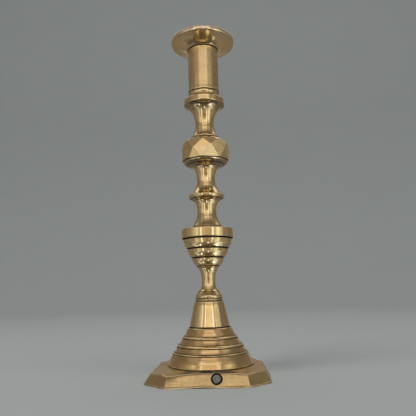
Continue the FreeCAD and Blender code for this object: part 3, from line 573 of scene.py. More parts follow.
# --- diamond knop: flats filed round a barrel, none of them quite alike -------
KN = 9
K_AZ, K_MID, K_FLAT = -94.6, 187.5, 20.0
gk = np.random.default_rng(21)
k_planes = []
for i in range(KN):
    step = 360.0 / KN
    v = K_FLAT / math.cos(math.radians(step / 2))
    for kind_, az, tl, d in ((0, K_AZ + i * step, 0.0, K_FLAT), (1, K_AZ + (i + 0.5) * step, -12.2 if i in (0, KN - 1) else -10.0, K_FLAT + 0.95 if i in (0, KN - 1) else v), (2, K_AZ + (i + 0.5) * step, 21.4, v)):
        az += gk.normal() * 0.7
        tl += gk.normal() * 0.5
        d += gk.normal() * 0.05
        # the lozenge at the front leans to the right at its top
        if kind_ == 2 and i == 0:
            d += 0.28
        if kind_ == 2 and i == KN - 1:
            d -= 0.22
        if kind_ == 1 and i == 0:
            d -= 0.12
        a, b = math.radians(az), math.radians(tl)
        k_planes.append((np.array([math.cos(a) * math.cos(b), math.sin(a) * math.cos(b), math.sin(b)]), d, b))


FRONT_EDGE = [0, 1, (KN - 1) * 3 + 1]          # the lozenge and the two flats under it
KNOP_WEAR_HIGHLIGHT = []


def knop_rows(p, n):
    """Even rows over the filed height."""
    m = np.zeros(len(p), bool)
    band = np.nonzero((p[:, 1] > 178.9) & (p[:, 1] < 197.5) & (p[:, 0] > 12))[0]
    m[band[::3]] = True
    return m


def knop_cut(X, N, row, p):
    r = np.hypot(X[:, 0], X[:, 1])
    m = (p[row][:, 1] > 178.6) & (r > 12.5) & (p[row][:, 1] < 197.7)
    out = X.copy()
    q = X[m]
    # pull each point straight in towards the axis until it lies on the lowest flat
    u = np.stack([q[:, 0] / r[m], q[:, 1] / r[m]], 1)
    lim = r[m][:, None]
    cuts = [r[m]]
    for nv, d, b in k_planes:
        den = u @ nv[:2]
        # plane through the point at distance d on the equator
        rad = (d * math.cos(b) - (q[:, 2] - K_MID) * nv[2]) / np.maximum(den, 1e-3)
        rad[den < 0.5] = 99
        cuts.append(rad)
    c = np.array(cuts)
    k = 26.0
    lo = c.min(0)
    soft = lo - np.log(np.exp(-k * np.minimum(c - lo, 3.0)).sum(0)) / k * 1.0
    # painted highlight with rubbing: the ridges between flats are lighter, most of all under the front lozenge
    two = np.argsort(c, 0)[:2]
    near_ = np.take_along_axis(c, two, 0)
    ridge = np.exp(-((near_[1] - near_[0]) / 0.125) ** 2) * (two[0] > 0) * (two[1] > 0)
    lead = np.isin(two[0] - 1, FRONT_EDGE).astype(float) * np.isin(two[1] - 1, FRONT_EDGE)
    w = np.zeros(len(X))
    # painted highlight: a light patch low on the front lozenge
    glow = np.exp(-((q[:, 2] - K_MID + 2.6) / 2.6) ** 2 - ((q[:, 0] + 0.8) / 3.0) ** 2) * (two[0] == 1) * (q[:, 1] < 0)
    w[m] = np.maximum(ridge * np.clip(0.22 + 1.0 * lead, 0, 1), 0.50 * glow)
    KNOP_WEAR_HIGHLIGHT.append(w)
    out[m, 0], out[m, 1] = u[:, 0] * soft, u[:, 1] * soft
    return out


knop = revolve("diamond_knop", M_KNOP, seg=432, wave=0.5, radial=knop_rows, outside=knop_cut)
knop.data.attributes["wear"].data.foreach_set("value", KNOP_WEAR_HIGHLIGHT[0].astype(np.float32))

# ---------------------------------------------------------------------------
# Plinth: pressed plate with a skirt, eight sided, slightly out of true
# ---------------------------------------------------------------------------
A0, A1, C0, C1, TOP = 47.2, 42.4, 16.2, 13.2, 9.4
WALL, PLATE, PBORE = 2.7, 2.6, 28.05
SLOPE, CSLOPE = (A0 - A1) / TOP, (C0 - C1) / TOP
ZI = TOP - PLATE
KC = 2.0 - math.sqrt(2.0)


def ring(a, c, n_long, n_cut, r):
    """Points round an eight-sided outline whose corners are rounded by r."""
    b = a - c
    corner = [(a, -b), (a, b), (b, a), (-b, a), (-a, b), (-a, -b), (-b, -a), (b, -a)]
    pts = []
    for i in range(8):
        p, q, w = Vector(corner[i]), Vector(corner[(i + 1) % 8]), Vector(corner[i - 1])
        d1, d2 = (p - w).normalized(), (q - p).normalized()
        t = r * math.tan(math.radians(22.5))
        s, e = p - d1 * t, p + d2 * t
        for k in range(5):                       # rounded corner
            u = k / 4
            pts.append((s * (1 - u) ** 2 + p * 2 * u * (1 - u) + e * u * u))
        q2 = q - d2 * t
        n = n_long if i % 2 == 0 else n_cut
        for k in range(1, n):
            pts.append(e.lerp(q2, k / n))
    return np.array([(v.x, v.y) for v in pts])


NL, NC = 66, 26
W_SKIRT = field(31, 30.0, 12)
W_SKIRT2 = field(32, 11.0, 14)
W_TOP = field(33, 22.0, 12)
W_FINE = field(34, 3.5, 16)


def bumpy(x, x0, w):
    return np.exp(-((x - x0) / w) ** 2)


def build_plinth():
    rows = []                                     # each is (points, level kind)

    def row(a, c, z, r, kind):
        rows.append((ring(a, c, NL, NC, r), z, kind))

    def outer(z, off=0.0, r=0.9):
        return A0 - SLOPE * z - off, C0 - CSLOPE * z - off * KC, r

    def inner(z):
        return A0 - WALL - SLOPE * (z - 1.0) - SLOPE, C0 - KC * WALL - CSLOPE * (z - 1.0) - CSLOPE, 0.8

    def circle(r, z, ref, kind):
        an = np.arctan2(ref[:, 1], ref[:, 0])
        rows.append((np.stack([r * np.cos(an), r * np.sin(an)], 1), z, kind))

    ref = ring(A1, C1, NL, NC, 0.9)
    # top plate, from the hole out to the rounded edge
    an = np.arctan2(ref[:, 1], ref[:, 0])
    edge = ring(A1 - 0.75, C1 - 0.75 * KC, NL, NC, 1.0)
    hole = np.stack([PBORE * np.cos(an), PBORE * np.sin(an)], 1)
    for u in list(np.linspace(0, 1, 26)):
        rows.append((hole * (1 - u) + edge * u, TOP, "top"))
    for off, dz in ((0.42, 0.04), (0.16, 0.20), (0.0, 0.48)):
        rows.append((ring(A1 - off, C1 - off * KC, NL, NC, 0.95), TOP - dz, "edge"))
    for z in np.linspace(TOP - 0.9, 1.35, 17):
        row(*outer(z)[:2], z, 0.9, "skirt")
    for z, off in ((1.20, -0.03), (1.00, -0.12), (0.78, -0.22), (0.54, -0.28), (0.31, -0.24), (0.12, -0.06), (0.01, 0.28)):
        row(*outer(z, off)[:2], z, 0.9, "rim")
    row(*outer(0.0, 0.9)[:2], 0.0, 0.9, "rim0")
    for off, z in ((1.8, 0.0),):
        row(*outer(0.0, off)[:2], z, 0.9, "rim0")
    a_in, c_in, _ = inner(0.35)
    row(a_in + 0.25, c_in + 0.25 * KC, 0.05, 0.8, "rim0")
    row(a_in, c_in, 0.35, 0.8, "in")
    for z in np.linspace(1.2, ZI - 0.5, 6):
        row(*inner(z)[:2], z, 0.8, "in")
    a_t, c_t, _ = inner(ZI)
    row(a_t - 0.15, c_t, ZI - 0.12, 0.8, "in")
    last = ring(a_t - 0.5, c_t, NL, NC, 0.8)
    for u in np.linspace(1, 0, 8):
        rows.append((hole * (1 - u) + last * u, ZI, "under"))
    n = len(rows)
    m = len(rows[0][0])
    V = np.zeros((n, m, 3))
    for i, (p, z, kind) in enumerate(rows):
        V[i, :, :2], V[i, :, 2] = p, z
    kinds = [k for _, _, k in rows]
    P = V.reshape(-1, 3).copy()
    kind = np.repeat(kinds, m)
    rad = np.hypot(P[:, 0], P[:, 1])
    cheb = np.maximum(np.abs(P[:, 0]), np.abs(P[:, 1]))
    # outward direction of the skirt at each point
    ux = np.where(np.abs(P[:, 0]) > np.abs(P[:, 1]), np.sign(P[:, 0]), 0.0)
    uy = np.where(np.abs(P[:, 0]) > np.abs(P[:, 1]), 0.0, np.sign(P[:, 1]))
    diag = (np.abs(P[:, 0]) + np.abs(P[:, 1])) > (2 * cheb - 0.0) * 0.84 + 0.0
    cut = np.abs(np.abs(P[:, 0]) - np.abs(P[:, 1])) < 31 - (P[:, 2] * 0.25)
    side = np.isin(kind, ["skirt", "edge", "rim", "rim0", "in"])
    h = np.clip(P[:, 2] / TOP, 0, 1)
    wob = 0.16 * W_SKIRT(P) + 0.055 * W_SKIRT2(P) + 0.012 * W_FINE(P)
    un = np.stack([P[:, 0], P[:, 1]], 1) / rad[:, None]
    push = np.where(side, wob * (0.35 + 0.65 * np.sin(np.pi * np.clip(h, 0, 1))), 0.0)
    P[:, 0] += un[:, 0] * push
    P[:, 1] += un[:, 1] * push
    # the plate is dished a little towards its corners, and its edge runs unevenly
    far = np.clip((rad - 36.0) / 12.0, 0, 1)
    x, y = P[:, 0], P[:, 1]
    lift = 0.10 * W_TOP(P) * far + 0.02 * W_SKIRT2(P) * far
    fl = np.exp(-(((x + 27) / 9.0) ** 2 + ((y + 41) / 8.0) ** 2))
    ls = np.exp(-(((x + 41) / 7.0) ** 2 + ((y + 28) / 9.0) ** 2))
    fr = np.exp(-(((x - 29) / 9.0) ** 2 + ((y + 41) / 8.0) ** 2))
    br = np.exp(-(((x - 41) / 8.0) ** 2 + ((y - 29) / 9.0) ** 2))
    bl = np.exp(-(((x + 41) / 9.0) ** 2 + ((y - 31) / 11.0) ** 2))
    rs = np.exp(-(((x - 42) / 7.0) ** 2 + ((y + 29) / 9.0) ** 2))
    lift += -1.35 * fl - 1.35 * ls - 0.80 * fr - 0.75 * rs - 2.4 * br - 1.8 * bl
    up = np.isin(kind, ["top", "edge", "skirt", "under", "in"])
    top_share = np.clip((P[:, 2] - 1.2) / (TOP - 1.2), 0, 1) ** 1.3
    P[:, 2] += lift * up * top_share

    def near(x0, y0, w):
        return np.exp(-(((x - x0) / w) ** 2 + ((y - y0) / w) ** 2))

    rim_far = np.clip((np.maximum(np.abs(x), np.abs(y)) - 33.0) / 7.0, 0, 1)
    low_share = 1 - np.clip(P[:, 2] / TOP, 0, 1)
    dx = -1.55 * near(-45, -31, 15) - 2.1 * near(-44, 31, 15) - 0.75 * near(45, -31, 13) - 1.0 * near(44, 31, 14) - 0.6 * near(31, -46, 9)
    dy = -1.5 * near(-31, -47, 13) * low_share
    P[:, 0] += dx * rim_far
    P[:, 1] += dy * rim_far
    # the rim doesn't touch the table all along the front
    gap = 0.62 * np.exp(-((x + 3.5) / 9.0) ** 2) * (y < -40) + 0.28 * np.exp(-((x - 22) / 5.0) ** 2) * (y < -40)
    gap += 0.30 * np.exp(-((y - 6) / 12.0) ** 2) * (np.abs(x) > 40) + 0.35 * np.exp(-((x - 8) / 12.0) ** 2) * (y > 40)
    gap += np.maximum(0.0, 0.16 * W_SKIRT2(P)) * (1 - 0.9 * near(-31, -46, 12))
    gap += 0.55 * near(-47, -31, 8) + 0.45 * near(47, -31, 8)
    low = np.clip(1 - P[:, 2] / 3.0, 0, 1)
    P[:, 2] += gap * low * side
    P[:, 2] = np.clip(P[:, 2], 0.0, 9.75)
    grime = np.zeros(len(P))
    top = kind == "top"
    # painted shade and a painted dark reflection of the foot lie on the plate round the foot, widest at the front,
    # where the plate is narrow
    front = np.exp(-((np.minimum(x, 0) / 25.0) ** 2 + (np.maximum(x, 0) / 27.0) ** 2)) * (y < 0)
    wide = 2.2 + 6.0 * front
    foot_ring_shade = np.clip(1 - (rad - 33.8) / wide, 0, 1) ** 0.7 * (0.78 + 0.22 * front)
    foot_ring_shade = np.maximum(foot_ring_shade, (0.92 + 0.10 * W_SKIRT2(P)) * np.clip(1.35 * front, 0, 1) ** 0.8 * np.clip(1.5 - np.abs(y + 38.4) / 4.5, 0, 1))
    grime[top] = np.clip(foot_ring_shade + 0.10 * W_SKIRT2(P), 0, 1)[top] * (rad[top] > 33.0)
    grime[top & (rad < 34.2)] = 0.75
    # the inside, the underside and the bottom of the rim are darkened
    grime[kind == "in"] = 0.25
    grime[kind == "under"] = 0.35
    lowband = (kind == "rim0")
    grime[lowband] = np.maximum(grime[lowband], 0.45)
    # painted highlight with rubbing: the rounded top edge and the bottom rim are lighter, less so on the sides facing
    # left and right
    wear = np.zeros(len(P))
    patch = np.clip(0.85 + 0.4 * W_SKIRT2(P) + 0.3 * W_FINE(P), 0.4, 1)
    wear[kind == "edge"] = (0.55 * patch)[kind == "edge"]
    wear[kind == "rim"] = (1.0 * patch)[kind == "rim"]
    facing = np.abs(y) > np.abs(x) + 12
    wear[side & ~facing] *= 0.35
    idx = np.arange(n * m).reshape(n, m)
    faces = []
    for i in range(n):
        a, b = idx[i], idx[(i + 1) % n]
        for j in range(m):
            k = (j + 1) % m
            faces.append((int(a[j]), int(b[j]), int(b[k]), int(a[k])))
    return P, faces, grime, wear


pv, pf, pg, pw = build_plinth()
plinth = new_object("plinth_plate", pv * MM, pf, None, None, M_PLINTH, {"grime": pg, "wear": pw})

# cord hole, square to the skirt
HX, HZ, HR = 6.45, 5.85, 4.05
tilt = math.atan(SLOPE)
h_out = Vector((0.0, -math.cos(tilt), math.sin(tilt)))
h_right = Vector((1, 0, 0))
h_up = h_right.cross(h_out) * -1
if h_up.z < 0:
    h_up = -h_up
h_mid = Vector((HX, -(A0 - SLOPE * HZ), HZ))


def disc_mesh(name, rings_, seg, mat, attrs=None, close_start=True, close_end=True):
    """Stacked rings in the hole's own frame: (radius, height along its axis, wobble)."""
    vs, fs = [], []
    for r, hgt, wob in rings_:
        for k in range(seg):
            a = 2 * math.pi * k / seg
            rr = r + wob * math.sin(3 * a + 1.1) + 0.6 * wob * math.sin(7 * a + 0.4)
            v = h_mid + h_right * (rr * math.cos(a)) + h_up * (rr * math.sin(a)) + h_out * hgt
            vs.append((v.x, v.y, v.z))
    for i in range(len(rings_) - 1):
        for k in range(seg):
            j = (k + 1) % seg
            fs.append((i * seg + k, i * seg + j, (i + 1) * seg + j, (i + 1) * seg + k))
    if close_start:
        c = h_mid + h_out * rings_[0][1]
        vs.append((c.x, c.y, c.z))
        fs += [(len(vs) - 1, (k + 1) % seg, k) for k in range(seg)]
    if close_end:
        c = h_mid + h_out * rings_[-1][1]
        vs.append((c.x, c.y, c.z))
        o = (len(rings_) - 1) * seg
        fs += [(len(vs) - 1, o + k, o + (k + 1) % seg) for k in range(seg)]
    return np.array(vs), fs


cv, cf = disc_mesh("cutter", [(HR, -8.0, 0.0), (HR, -0.3, 0.04), (HR + 0.35, 0.12, 0.05), (HR + 0.5, 3.0, 0.05)], 72, M_PLINTH)
cutter = bpy.data.objects.new("cutter", bpy.data.meshes.new("cutter"))
cutter.data.from_pydata((cv * MM).tolist(), [], cf)
bpy.context.scene.collection.objects.link(cutter)
for ob in (cutter, plinth):
    bm = bmesh.new()
    bm.from_mesh(ob.data)
    bmesh.ops.recalc_face_normals(bm, faces=bm.faces)
    bm.to_mesh(ob.data)
    bm.free()
mod = plinth.modifiers.new("cord_hole", "BOOLEAN")
mod.operation = "DIFFERENCE"
mod.solver = "EXACT"
mod.object = cutter
bpy.context.view_layer.update()
done = bpy.data.meshes.new_from_object(plinth.evaluated_get(bpy.context.evaluated_depsgraph_get()))
plinth.modifiers.clear()
plinth.data = done
bpy.data.objects.remove(cutter, do_unlink=True)
done.materials.clear()
done.materials.append(M_PLINTH)
done.polygons.foreach_set("use_smooth", [True] * len(done.polygons))
done.set_sharp_from_angle(angle=math.radians(38))
# soiling and painted shade darken the ground edge round the hole
cut_grime_shade = done.attributes.get("grime") or done.attributes.new("grime", "FLOAT", "POINT")
co = np.empty(len(done.vertices) * 3, np.float32)
done.vertices.foreach_get("co", co)
co = co.reshape(-1, 3) / MM
gv = np.empty(len(done.vertices), np.float32)
cut_grime_shade.data.foreach_get("value", gv)
near = np.hypot(co[:, 0] - HX, (co[:, 2] - HZ) / math.cos(tilt))
gv = np.maximum(gv, ((near < HR + 0.18) & (co[:, 1] < -30)) * 0.85).astype(np.float32)
cut_grime_shade.data.foreach_set("value", gv)
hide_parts("plinth")
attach(plinth, "candlestick")

# plug: a lead-grey stopper, hammered in, with a lumpy head inside a collar painted near black as shade, with soiling
plug_rows = [(HR - 0.10, -3.3, 0.0), (HR - 0.08, -3.2, 0.0), (HR - 0.08, -1.5, 0.02), (HR - 0.06, -0.3, 0.02), (HR - 0.05, 0.02, 0.03)]
plug_rows += [(HR + 0.12, 0.10, 0.05), (HR + 0.17, 0.22, 0.06), (HR + 0.12, 0.36, 0.07), (HR - 0.06, 0.45, 0.08), (HR - 0.28, 0.44, 0.08), (HR - 0.48, 0.32, 0.08), (HR - 0.66, 0.10, 0.08), (HR - 0.80, -0.04, 0.08)]
prof = [(3.16, -0.02), (3.10, 0.16), (3.02, 0.36), (2.88, 0.54), (2.66, 0.72), (2.35, 0.88), (2.00, 1.00), (1.60, 1.08), (1.20, 1.14), (0.80, 1.18), (0.40, 1.19)]
plug_rows += [(r, hgt, 0.08) for r, hgt in prof]
gv2, gf2 = disc_mesh("plug", plug_rows, 120, M_PLUG)
lump = field(41, 2.2, 16)
lump2 = field(42, 0.9, 18)
d = np.hypot(gv2[:, 0] - HX, (gv2[:, 2] - HZ) / math.cos(tilt))
head = np.clip((3.15 - d) / 0.7, 0, 1)
amt = (0.30 * lump(gv2) + 0.13 * lump2(gv2)) * head * (gv2[:, 1] < h_mid.y + 1.6)
amt += 0.08 * lump2(gv2) * (d > 3.4) * (gv2[:, 1] < h_mid.y + 0.4)
gv2 = gv2 + np.outer(amt, [h_out.x, h_out.y, h_out.z])
collar_shade = np.clip((d - 2.95) / 0.22, 0, 1)
plug = new_object("cord_hole_stopper", gv2 * MM, gf2, "cord_hole_plug", "candlestick", M_PLUG, {"grime": collar_shade})

# --- carried-over CAD node --------------------------------------------------
for slot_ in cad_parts["foot_ring_nut"].material_slots:
    slot_.link = "OBJECT"
    slot_.material = M_INSIDE

# ---------------------------------------------------------------------------
# Stage: pale round studio, soft lights, and a light tent for the metal
# ---------------------------------------------------------------------------
def stage_material(name, colour):
    t = Tree(name)
    n = t.noise((3, 3, 3), 1.0, 3.0)
    t.link(t.mix(t.ramp(n, [(0.3, 0.0), (0.7, 1.0)]), colour, [c * 0.985 for c in colour]), t.bsdf.inputs["Base Color"])
    t.bsdf.inputs["Roughness"].default_value = 0.9
    t.bsdf.inputs["Specular IOR Level"].default_value = 0.1
    # the floor is one sided, so the underneath can be looked at
    geo = t.add("ShaderNodeNewGeometry")
    clear = t.add("ShaderNodeBsdfTransparent")
    mix = t.add("ShaderNodeMixShader")
    t.link(geo.outputs["Backfacing"], mix.inputs[0])
    t.link(t.bsdf.outputs[0], mix.inputs[1])
    t.link(clear.outputs[0], mix.inputs[2])
    t.link(mix.outputs[0], t.out.inputs["Surface"])
    return t.mat


sweep = [(0.0, 0.0), (0.05, 0.0), (0.1, 0.0), (0.3, 0.0), (0.8, 0.0), (1.2, 0.0)]
sweep += [(1.2 + 1.0 * math.sin(a), 1.0 - 1.0 * math.cos(a)) for a in np.linspace(0.1, math.pi / 2, 16)]
sweep += [(2.2, 1.6), (2.2, 2.6)]
SV, SF = [(0, 0, 0)], []
ns = 96
for r, z in sweep[1:]:
    SV += [(r * math.cos(2 * math.pi * k / ns), r * math.sin(2 * math.pi * k / ns), z) for k in range(ns)]
SF += [(0, 1 + k, 1 + (k + 1) % ns) for k in range(ns)]
for i in range(len(sweep) - 2):
    a, b = 1 + i * ns, 1 + (i + 1) * ns
    SF += [(a + k, b + k, b + (k + 1) % ns, a + (k + 1) % ns) for k in range(ns)]
me = bpy.data.meshes.new("studio_floor")
me.from_pydata(SV, [], SF)
me.polygons.foreach_set("use_smooth", [True] * len(me.polygons))
floor = bpy.data.objects.new("studio_floor", me)
bpy.context.scene.collection.objects.link(floor)
me.materials.append(stage_material("pale_floor", (0.43, 0.445, 0.44)))
floor.visible_glossy = False


def smooth(x, a, b, s):
    return 1 / (1 + np.exp(-np.clip((x - a) / s, -30, 30))) * 1 / (1 + np.exp(-np.clip((b - x) / s, -30, 30)))


# panels of the light tent, laid over each other in turn: azimuths from the front
# (+ to the right), heights, colour, softness of the sides and of the ends, all in
# degrees, and how far the panel's ends climb for each degree of azimuth
TENT = [
    (-130, 130, -46, -14, (0.275, 0.275, 0.265), 12, 7, 0),
    (-110, -58, 8, 36, (0.180, 0.158, 0.128), 8, 5, 0),
    (78, 116, 2, 36, (0.165, 0.155, 0.135), 8, 5, 0),
    (-160, -106, -15, 40, (0.170, 0.158, 0.132), 9, 8, 0),
    (106, 160, -15, 40, (0.160, 0.150, 0.128), 9, 8, 0),
    (-160, -104, -62, -16, (0.225, 0.215, 0.190), 8, 6, 0),
    (102, 160, -62, -16, (0.225, 0.218, 0.200), 8, 6, 0),
    (80, 104, -38, 6, (0.265, 0.250, 0.215), 7, 6, 0),
    (-94, -62, -14, 19, (0.275, 0.250, 0.205), 6, 4, 0),
    # above
    (-76, -30, 29, 56, (0.34, 0.305, 0.25), 9, 4, 0),
    (-30, 31, 34, 59, (0.44, 0.405, 0.355), 3, 3, 0),
    (1, 24, 41, 50, (0.66, 0.66, 0.62), 3, 2, 0),
    (31, 70, 40, 52, (0.42, 0.39, 0.345), 5, 3, 0),
    (31, 66, 23, 40, (0.31, 0.285, 0.24), 5, 3, 0),
    (-31, 32, 36.8, 42, (0.335, 0.30, 0.25), 3, 1.5, 0),
    (-31, 32, 42.5, 53, (0.74, 0.67, 0.52), 3, 2, 0),
    (-27, 29, 28, 36.5, (0.72, 0.65, 0.54), 3, 1.5, 0),
    (-34, 36, 29.8, 32.6, (1.05, 1.02, 1.00), 3, 1.0, 0),
    (-70, -40, 0, 22, (0.47, 0.425, 0.34), 8, 4, 0),
    (58, 74, -14, 22, (0.50, 0.475, 0.40), 5, 4, 0),
    # middle, above the camera's height
    (-19, 23, 17, 29, (0.60, 0.525, 0.375), 2, 1.5, 0),
    (-19, 23, 17.5, 23.0, (1.03, 0.87, 0.65), 2, 1.5, 0),
    (-18, 22, 10, 17, (0.82, 0.80, 0.66), 2, 1.5, 0),
    (-1, 18, 13.5, 17, (1.10, 1.10, 1.05), 1.5, 0.8, 0),
    (-17, 20, 1, 10, (0.49, 0.415, 0.305), 2, 2, 0),
    (-17, -6, 4, 12, (0.66, 0.57, 0.42), 2, 2, 0),
    (-16, -6, -12, 3, (0.40, 0.35, 0.27), 2, 2, 0),
    (-6, 21, -20, 2, (0.31, 0.235, 0.155), 2, 2, 0),
    (-2, 9, -13, -4, (0.20, 0.145, 0.095), 2, 2, 0),
    (-16, -5, -32, -11, (0.41, 0.34, 0.235), 2, 2, 0),
    (-4, 20, -33, -20, (0.285, 0.23, 0.15), 2, 2, 0),
    (7, 13, -26, -12, (0.50, 0.44, 0.36), 1, 2, 0),
    (-17, -8, -62, -34, (0.185, 0.16, 0.115), 2, 2, 0),
    (8, 30, -50, -34, (0.33, 0.30, 0.245), 3, 2, 0),
    (2, 11, -51, -39, (1.35, 1.38, 1.40), 1.2, 1.5, 0),
    # left panel, its gap and the white strip
    (-58, -38, -34, 23, (0.60, 0.57, 0.455), 4, 4, 0),
    (-50, -40, 14.5, 22, (0.92, 0.92, 0.82), 2, 1.5, 0),
    (-45, -38, 2, 14, (0.88, 0.94, 0.92), 2, 2, 0),
    (-60, -48, -40, -20, (0.66, 0.65, 0.53), 2, 3, 0.8),
    (-37.5, -30, -42, 31, (0.43, 0.375, 0.275), 1.5, 4, 0),
    (-35, -31, 4, 17, (0.62, 0.62, 0.52), 1, 2, 0),
    (-28, -20, 12, 26, (1.25, 1.22, 1.05), 1.2, 2, 0),
    (-29, -20, -37, 13, (1.15, 1.20, 1.12), 1.2, 3, 0),
    (-24.5, -22.5, -16, 6, (0.60, 0.62, 0.60), 0.8, 2, 0),
    # right strip and panel
    (21, 31.5, -24, 27, (1.16, 1.20, 1.18), 1.2, 3, 0),
    (21, 30, -42, -22, (0.78, 0.80, 0.78), 1.5, 3, 0),
    (20, 26, -12, 0, (0.55, 0.50, 0.43), 1.5, 2, 0),
    (32, 39, -34, 19, (0.52, 0.53, 0.49), 1.5, 4, 0),
    (39, 64, -40, 24, (0.80, 0.80, 0.645), 3, 3, 0),
    (43, 55, -2, 13, (1.05, 1.08, 0.88), 2, 3, 0),
    (44, 62, 13, 17.5, (0.52, 0.50, 0.42), 2, 1, 0),
    (46, 60, 17.5, 22, (0.80, 0.82, 0.73), 2, 1.5, 0),
    (49, 56, -32, -3, (1.00, 1.02, 0.84), 2, 3, 0),
    (52, 57, -4, 3, (0.45, 0.44, 0.38), 1, 1.5, 0),
    # low down at the sides
    (-98, -55, -45, -34, (0.48, 0.50, 0.50), 5, 2, 0.12),
    (-112, -55, -64, -46, (0.15, 0.145, 0.145), 4, 3, 0),
    (-114, -90, -37, -15, (0.17, 0.162, 0.145), 5, 4, 0),
    (-138, -113, -64, -42, (0.10, 0.092, 0.080), 6, 3, 0),
    (111, 138, -64, -42, (0.13, 0.122, 0.110), 6, 3, 0),
    (60, 90, -62, -30, (0.66, 0.76, 0.80), 4, 4, 0),
    (70, 84, -50, -34, (0.86, 0.98, 1.04), 3, 3, 0),
    (47, 62, -62, -42, (0.55, 0.62, 0.68), 3, 3, 0),
    (88, 104, -48, -33, (0.36, 0.38, 0.39), 4, 3, 0),
    (44, 100, -63, -48, (0.72, 0.77, 0.82), 12, 3, 0),
    (-84, -56, -75, -68, (0.60, 0.68, 0.80), 5, 2, 0),
    (70, 94, -75, -68, (0.75, 0.85, 1.0), 5, 2, 0),
    (53, 68, -50, -32, (0.85, 0.95, 0.94), 3, 3, 0),
    (-36, 44, -95, -50, (0.165, 0.150, 0.118), 6, 2.5, 0),
    (-181, 181, -95, -62, (0.095, 0.085, 0.068), 5, 1.0, 0),
    (-92, -44, -58, -53.5, (1.0, 1.05, 1.1), 3, 1.0, -0.22),
    (-57, -43, -60, -54, (2.0, 2.1, 2.3), 2, 1.2, 0.4),
    (-92, -78, -50, -43, (0.66, 0.70, 0.66), 3, 1.5, 0),
    (46, 96, -56, -52, (1.0, 1.06, 1.1), 3, 1.0, 0.18),
    (61, 80, -58, -49.5, (2.3, 2.45, 2.6), 3, 1.2, -0.3),
    (96, 110, -48, -42, (0.66, 0.70, 0.70), 3, 1.2, 0),
    (50, 61, -61, -56, (1.0, 1.1, 1.25), 3, 1.2, -0.4),
    # behind the object
    (150, 158, -8, 24, (0.40, 0.40, 0.37), 1.5, 4, 0),
    (121, 139, -30, 20, (0.17, 0.16, 0.14), 4, 4, 0),
    (158, 182, 2, 30, (0.25, 0.222, 0.195), 4, 4, 0),
    (150, 182, -62, -10, (0.205, 0.182, 0.155), 6, 4, 0),
    (-158, -150, -8, 24, (0.42, 0.42, 0.39), 1.5, 4, 0),
    (-139, -121, -30, 20, (0.19, 0.18, 0.15), 4, 4, 0),
    (-182, -158, 2, 30, (0.25, 0.222, 0.195), 4, 4, 0),
    (-182, -150, -66, -10, (0.20, 0.175, 0.145), 6, 4, 0),
    (140, 152, -60.5, -57.5, (0.80, 0.80, 0.75), 2, 0.8, 0),
    # high at the back, for the lips and edges that face upwards
    (112, 184, 40, 70, (0.86, 0.81, 0.70), 8, 4, 0),
    (-184, -112, 40, 70, (0.86, 0.81, 0.70), 8, 4, 0),
]


def tent_colour(az, el):
    col = np.empty(az.shape + (3,))
    up = smooth(el, 57, 300, 4)[..., None]
    low = smooth(el, -300, -50, 5)[..., None]
    col[:] = (0.205, 0.195, 0.175)
    zen = np.clip((el - 62) / 22, 0, 1)[..., None]
    col = col * (1 - up) + (np.array((0.125, 0.100, 0.068)) * (1 - zen) + np.array((0.26, 0.225, 0.175)) * zen) * up
    col = col * (1 - low) + np.array((0.21, 0.205, 0.20)) * low
    for a0, a1, e0, e1, c, sa, se, climb in TENT:
        tilt_ = climb * (az - (a0 + a1) / 2)
        w = smooth(az, a0, a1, sa * 0.4) * smooth(el - tilt_, e0, e1, se * 0.5)
        if a1 > 180:
            w = np.maximum(w, smooth(az + 360, a0, a1, sa * 0.4) * smooth(el, e0, e1, se * 0.5))
        if a0 < -180:
            w = np.maximum(w, smooth(az - 360, a0, a1, sa * 0.4) * smooth(el, e0, e1, se * 0.5))
        col = col * (1 - w[..., None]) + np.array(c) * w[..., None]
    return col * np.array((1.055, 0.963, 0.945))


na, ne, RT = 540, 220, 1.9
azs = np.linspace(-180, 180, na, endpoint=False)
els = np.linspace(-88.5, 88.5, ne)
AZ, EL = np.meshgrid(azs, els)
rad_az, rad_el = np.radians(AZ), np.radians(EL)
TX = RT * np.sin(rad_az) * np.cos(rad_el)
TY = -RT * np.cos(rad_az) * np.cos(rad_el)
TZ = RT * np.sin(rad_el) + 0.15
tv = np.stack([TX, TY, TZ], -1).reshape(-1, 3)
tf = []
for i in range(ne - 1):
    for j in range(na):
        k = (j + 1) % na
        tf.append((i * na + j, i * na + k, (i + 1) * na + k, (i + 1) * na + j))
me = bpy.data.meshes.new("light_tent")
me.from_pydata(tv.tolist(), [], tf)
me.update()
tc = tent_colour(AZ, EL).reshape(-1, 3)
at = me.attributes.new("glow", "FLOAT_COLOR", "POINT")
at.data.foreach_set("color", np.concatenate([tc, np.ones((len(tc), 1))], 1).astype(np.float32).ravel())
tm = bpy.data.materials.new("light_tent")
tm.use_nodes = True
nt = tm.node_tree
nt.nodes.clear()
o_ = nt.nodes.new("ShaderNodeOutputMaterial")
e_ = nt.nodes.new("ShaderNodeEmission")
a_ = nt.nodes.new("ShaderNodeAttribute")
a_.attribute_name = "glow"
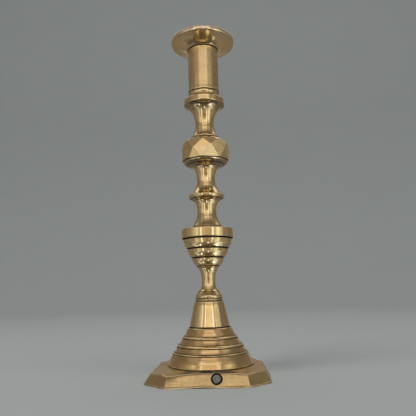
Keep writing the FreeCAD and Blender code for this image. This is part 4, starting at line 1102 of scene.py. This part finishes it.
nt.links.new(a_.outputs["Color"], e_.inputs["Color"])
nt.links.new(e_.outputs[0], o_.inputs["Surface"])
tm.cycles.emission_sampling = "NONE"
me.materials.append(tm)
tent = bpy.data.objects.new("light_tent", me)
bpy.context.scene.collection.objects.link(tent)
tent.visible_camera = tent.visible_diffuse = tent.visible_shadow = False
tent.visible_transmission = tent.visible_volume_scatter = False

world = bpy.data.worlds.new("studio_air")
bpy.context.scene.world = world
world.use_nodes = True
world.node_tree.nodes["Background"].inputs[0].default_value = (0.50, 0.515, 0.515, 1)
world.node_tree.nodes["Background"].inputs[1].default_value = 1.0


def soft_light(name, loc, size, power, target=(0, 0, 0.05)):
    li = bpy.data.lights.new(name, "AREA")
    li.shape = "DISK"
    li.size = size
    li.energy = power
    ob = bpy.data.objects.new(name, li)
    bpy.context.scene.collection.objects.link(ob)
    ob.location = loc
    ob.rotation_euler = (Vector(target) - Vector(loc)).to_track_quat("-Z", "Y").to_euler()
    ob.visible_glossy = False
    ob.visible_camera = False
    return ob


soft_light("key", (-0.7, -0.6, 1.5), 0.7, 9.0)
soft_light("fill", (1.0, -0.8, 1.5), 1.4, 8.0)
soft_light("backdrop_wash", (0.0, 0.35, 1.7), 0.9, 5.0, (0, 2.2, 0.7))

# --- camera -----------------------------------------------------------------
cam_data = bpy.data.cameras.new("camera")
cam_data.sensor_width = 36.0
cam_data.lens = 39.81
cam_data.clip_start = 0.01
cam = bpy.data.objects.new("camera", cam_data)
bpy.context.scene.collection.objects.link(cam)
fwd = Vector((-0.05141540, 0.98371084, 0.17224820))
upv = Vector((0.03511968, -0.17058866, 0.98471626))
rgt = fwd.cross(upv)
cam.matrix_world = Matrix(((rgt.x, upv.x, -fwd.x, 0.0213867), (rgt.y, upv.y, -fwd.y, -0.3885975), (rgt.z, upv.z, -fwd.z, 0.0697322), (0, 0, 0, 1)))
bpy.context.scene.camera = cam
bpy.context.scene.view_settings.view_transform = "Standard"
bpy.context.scene.view_settings.look = "None"
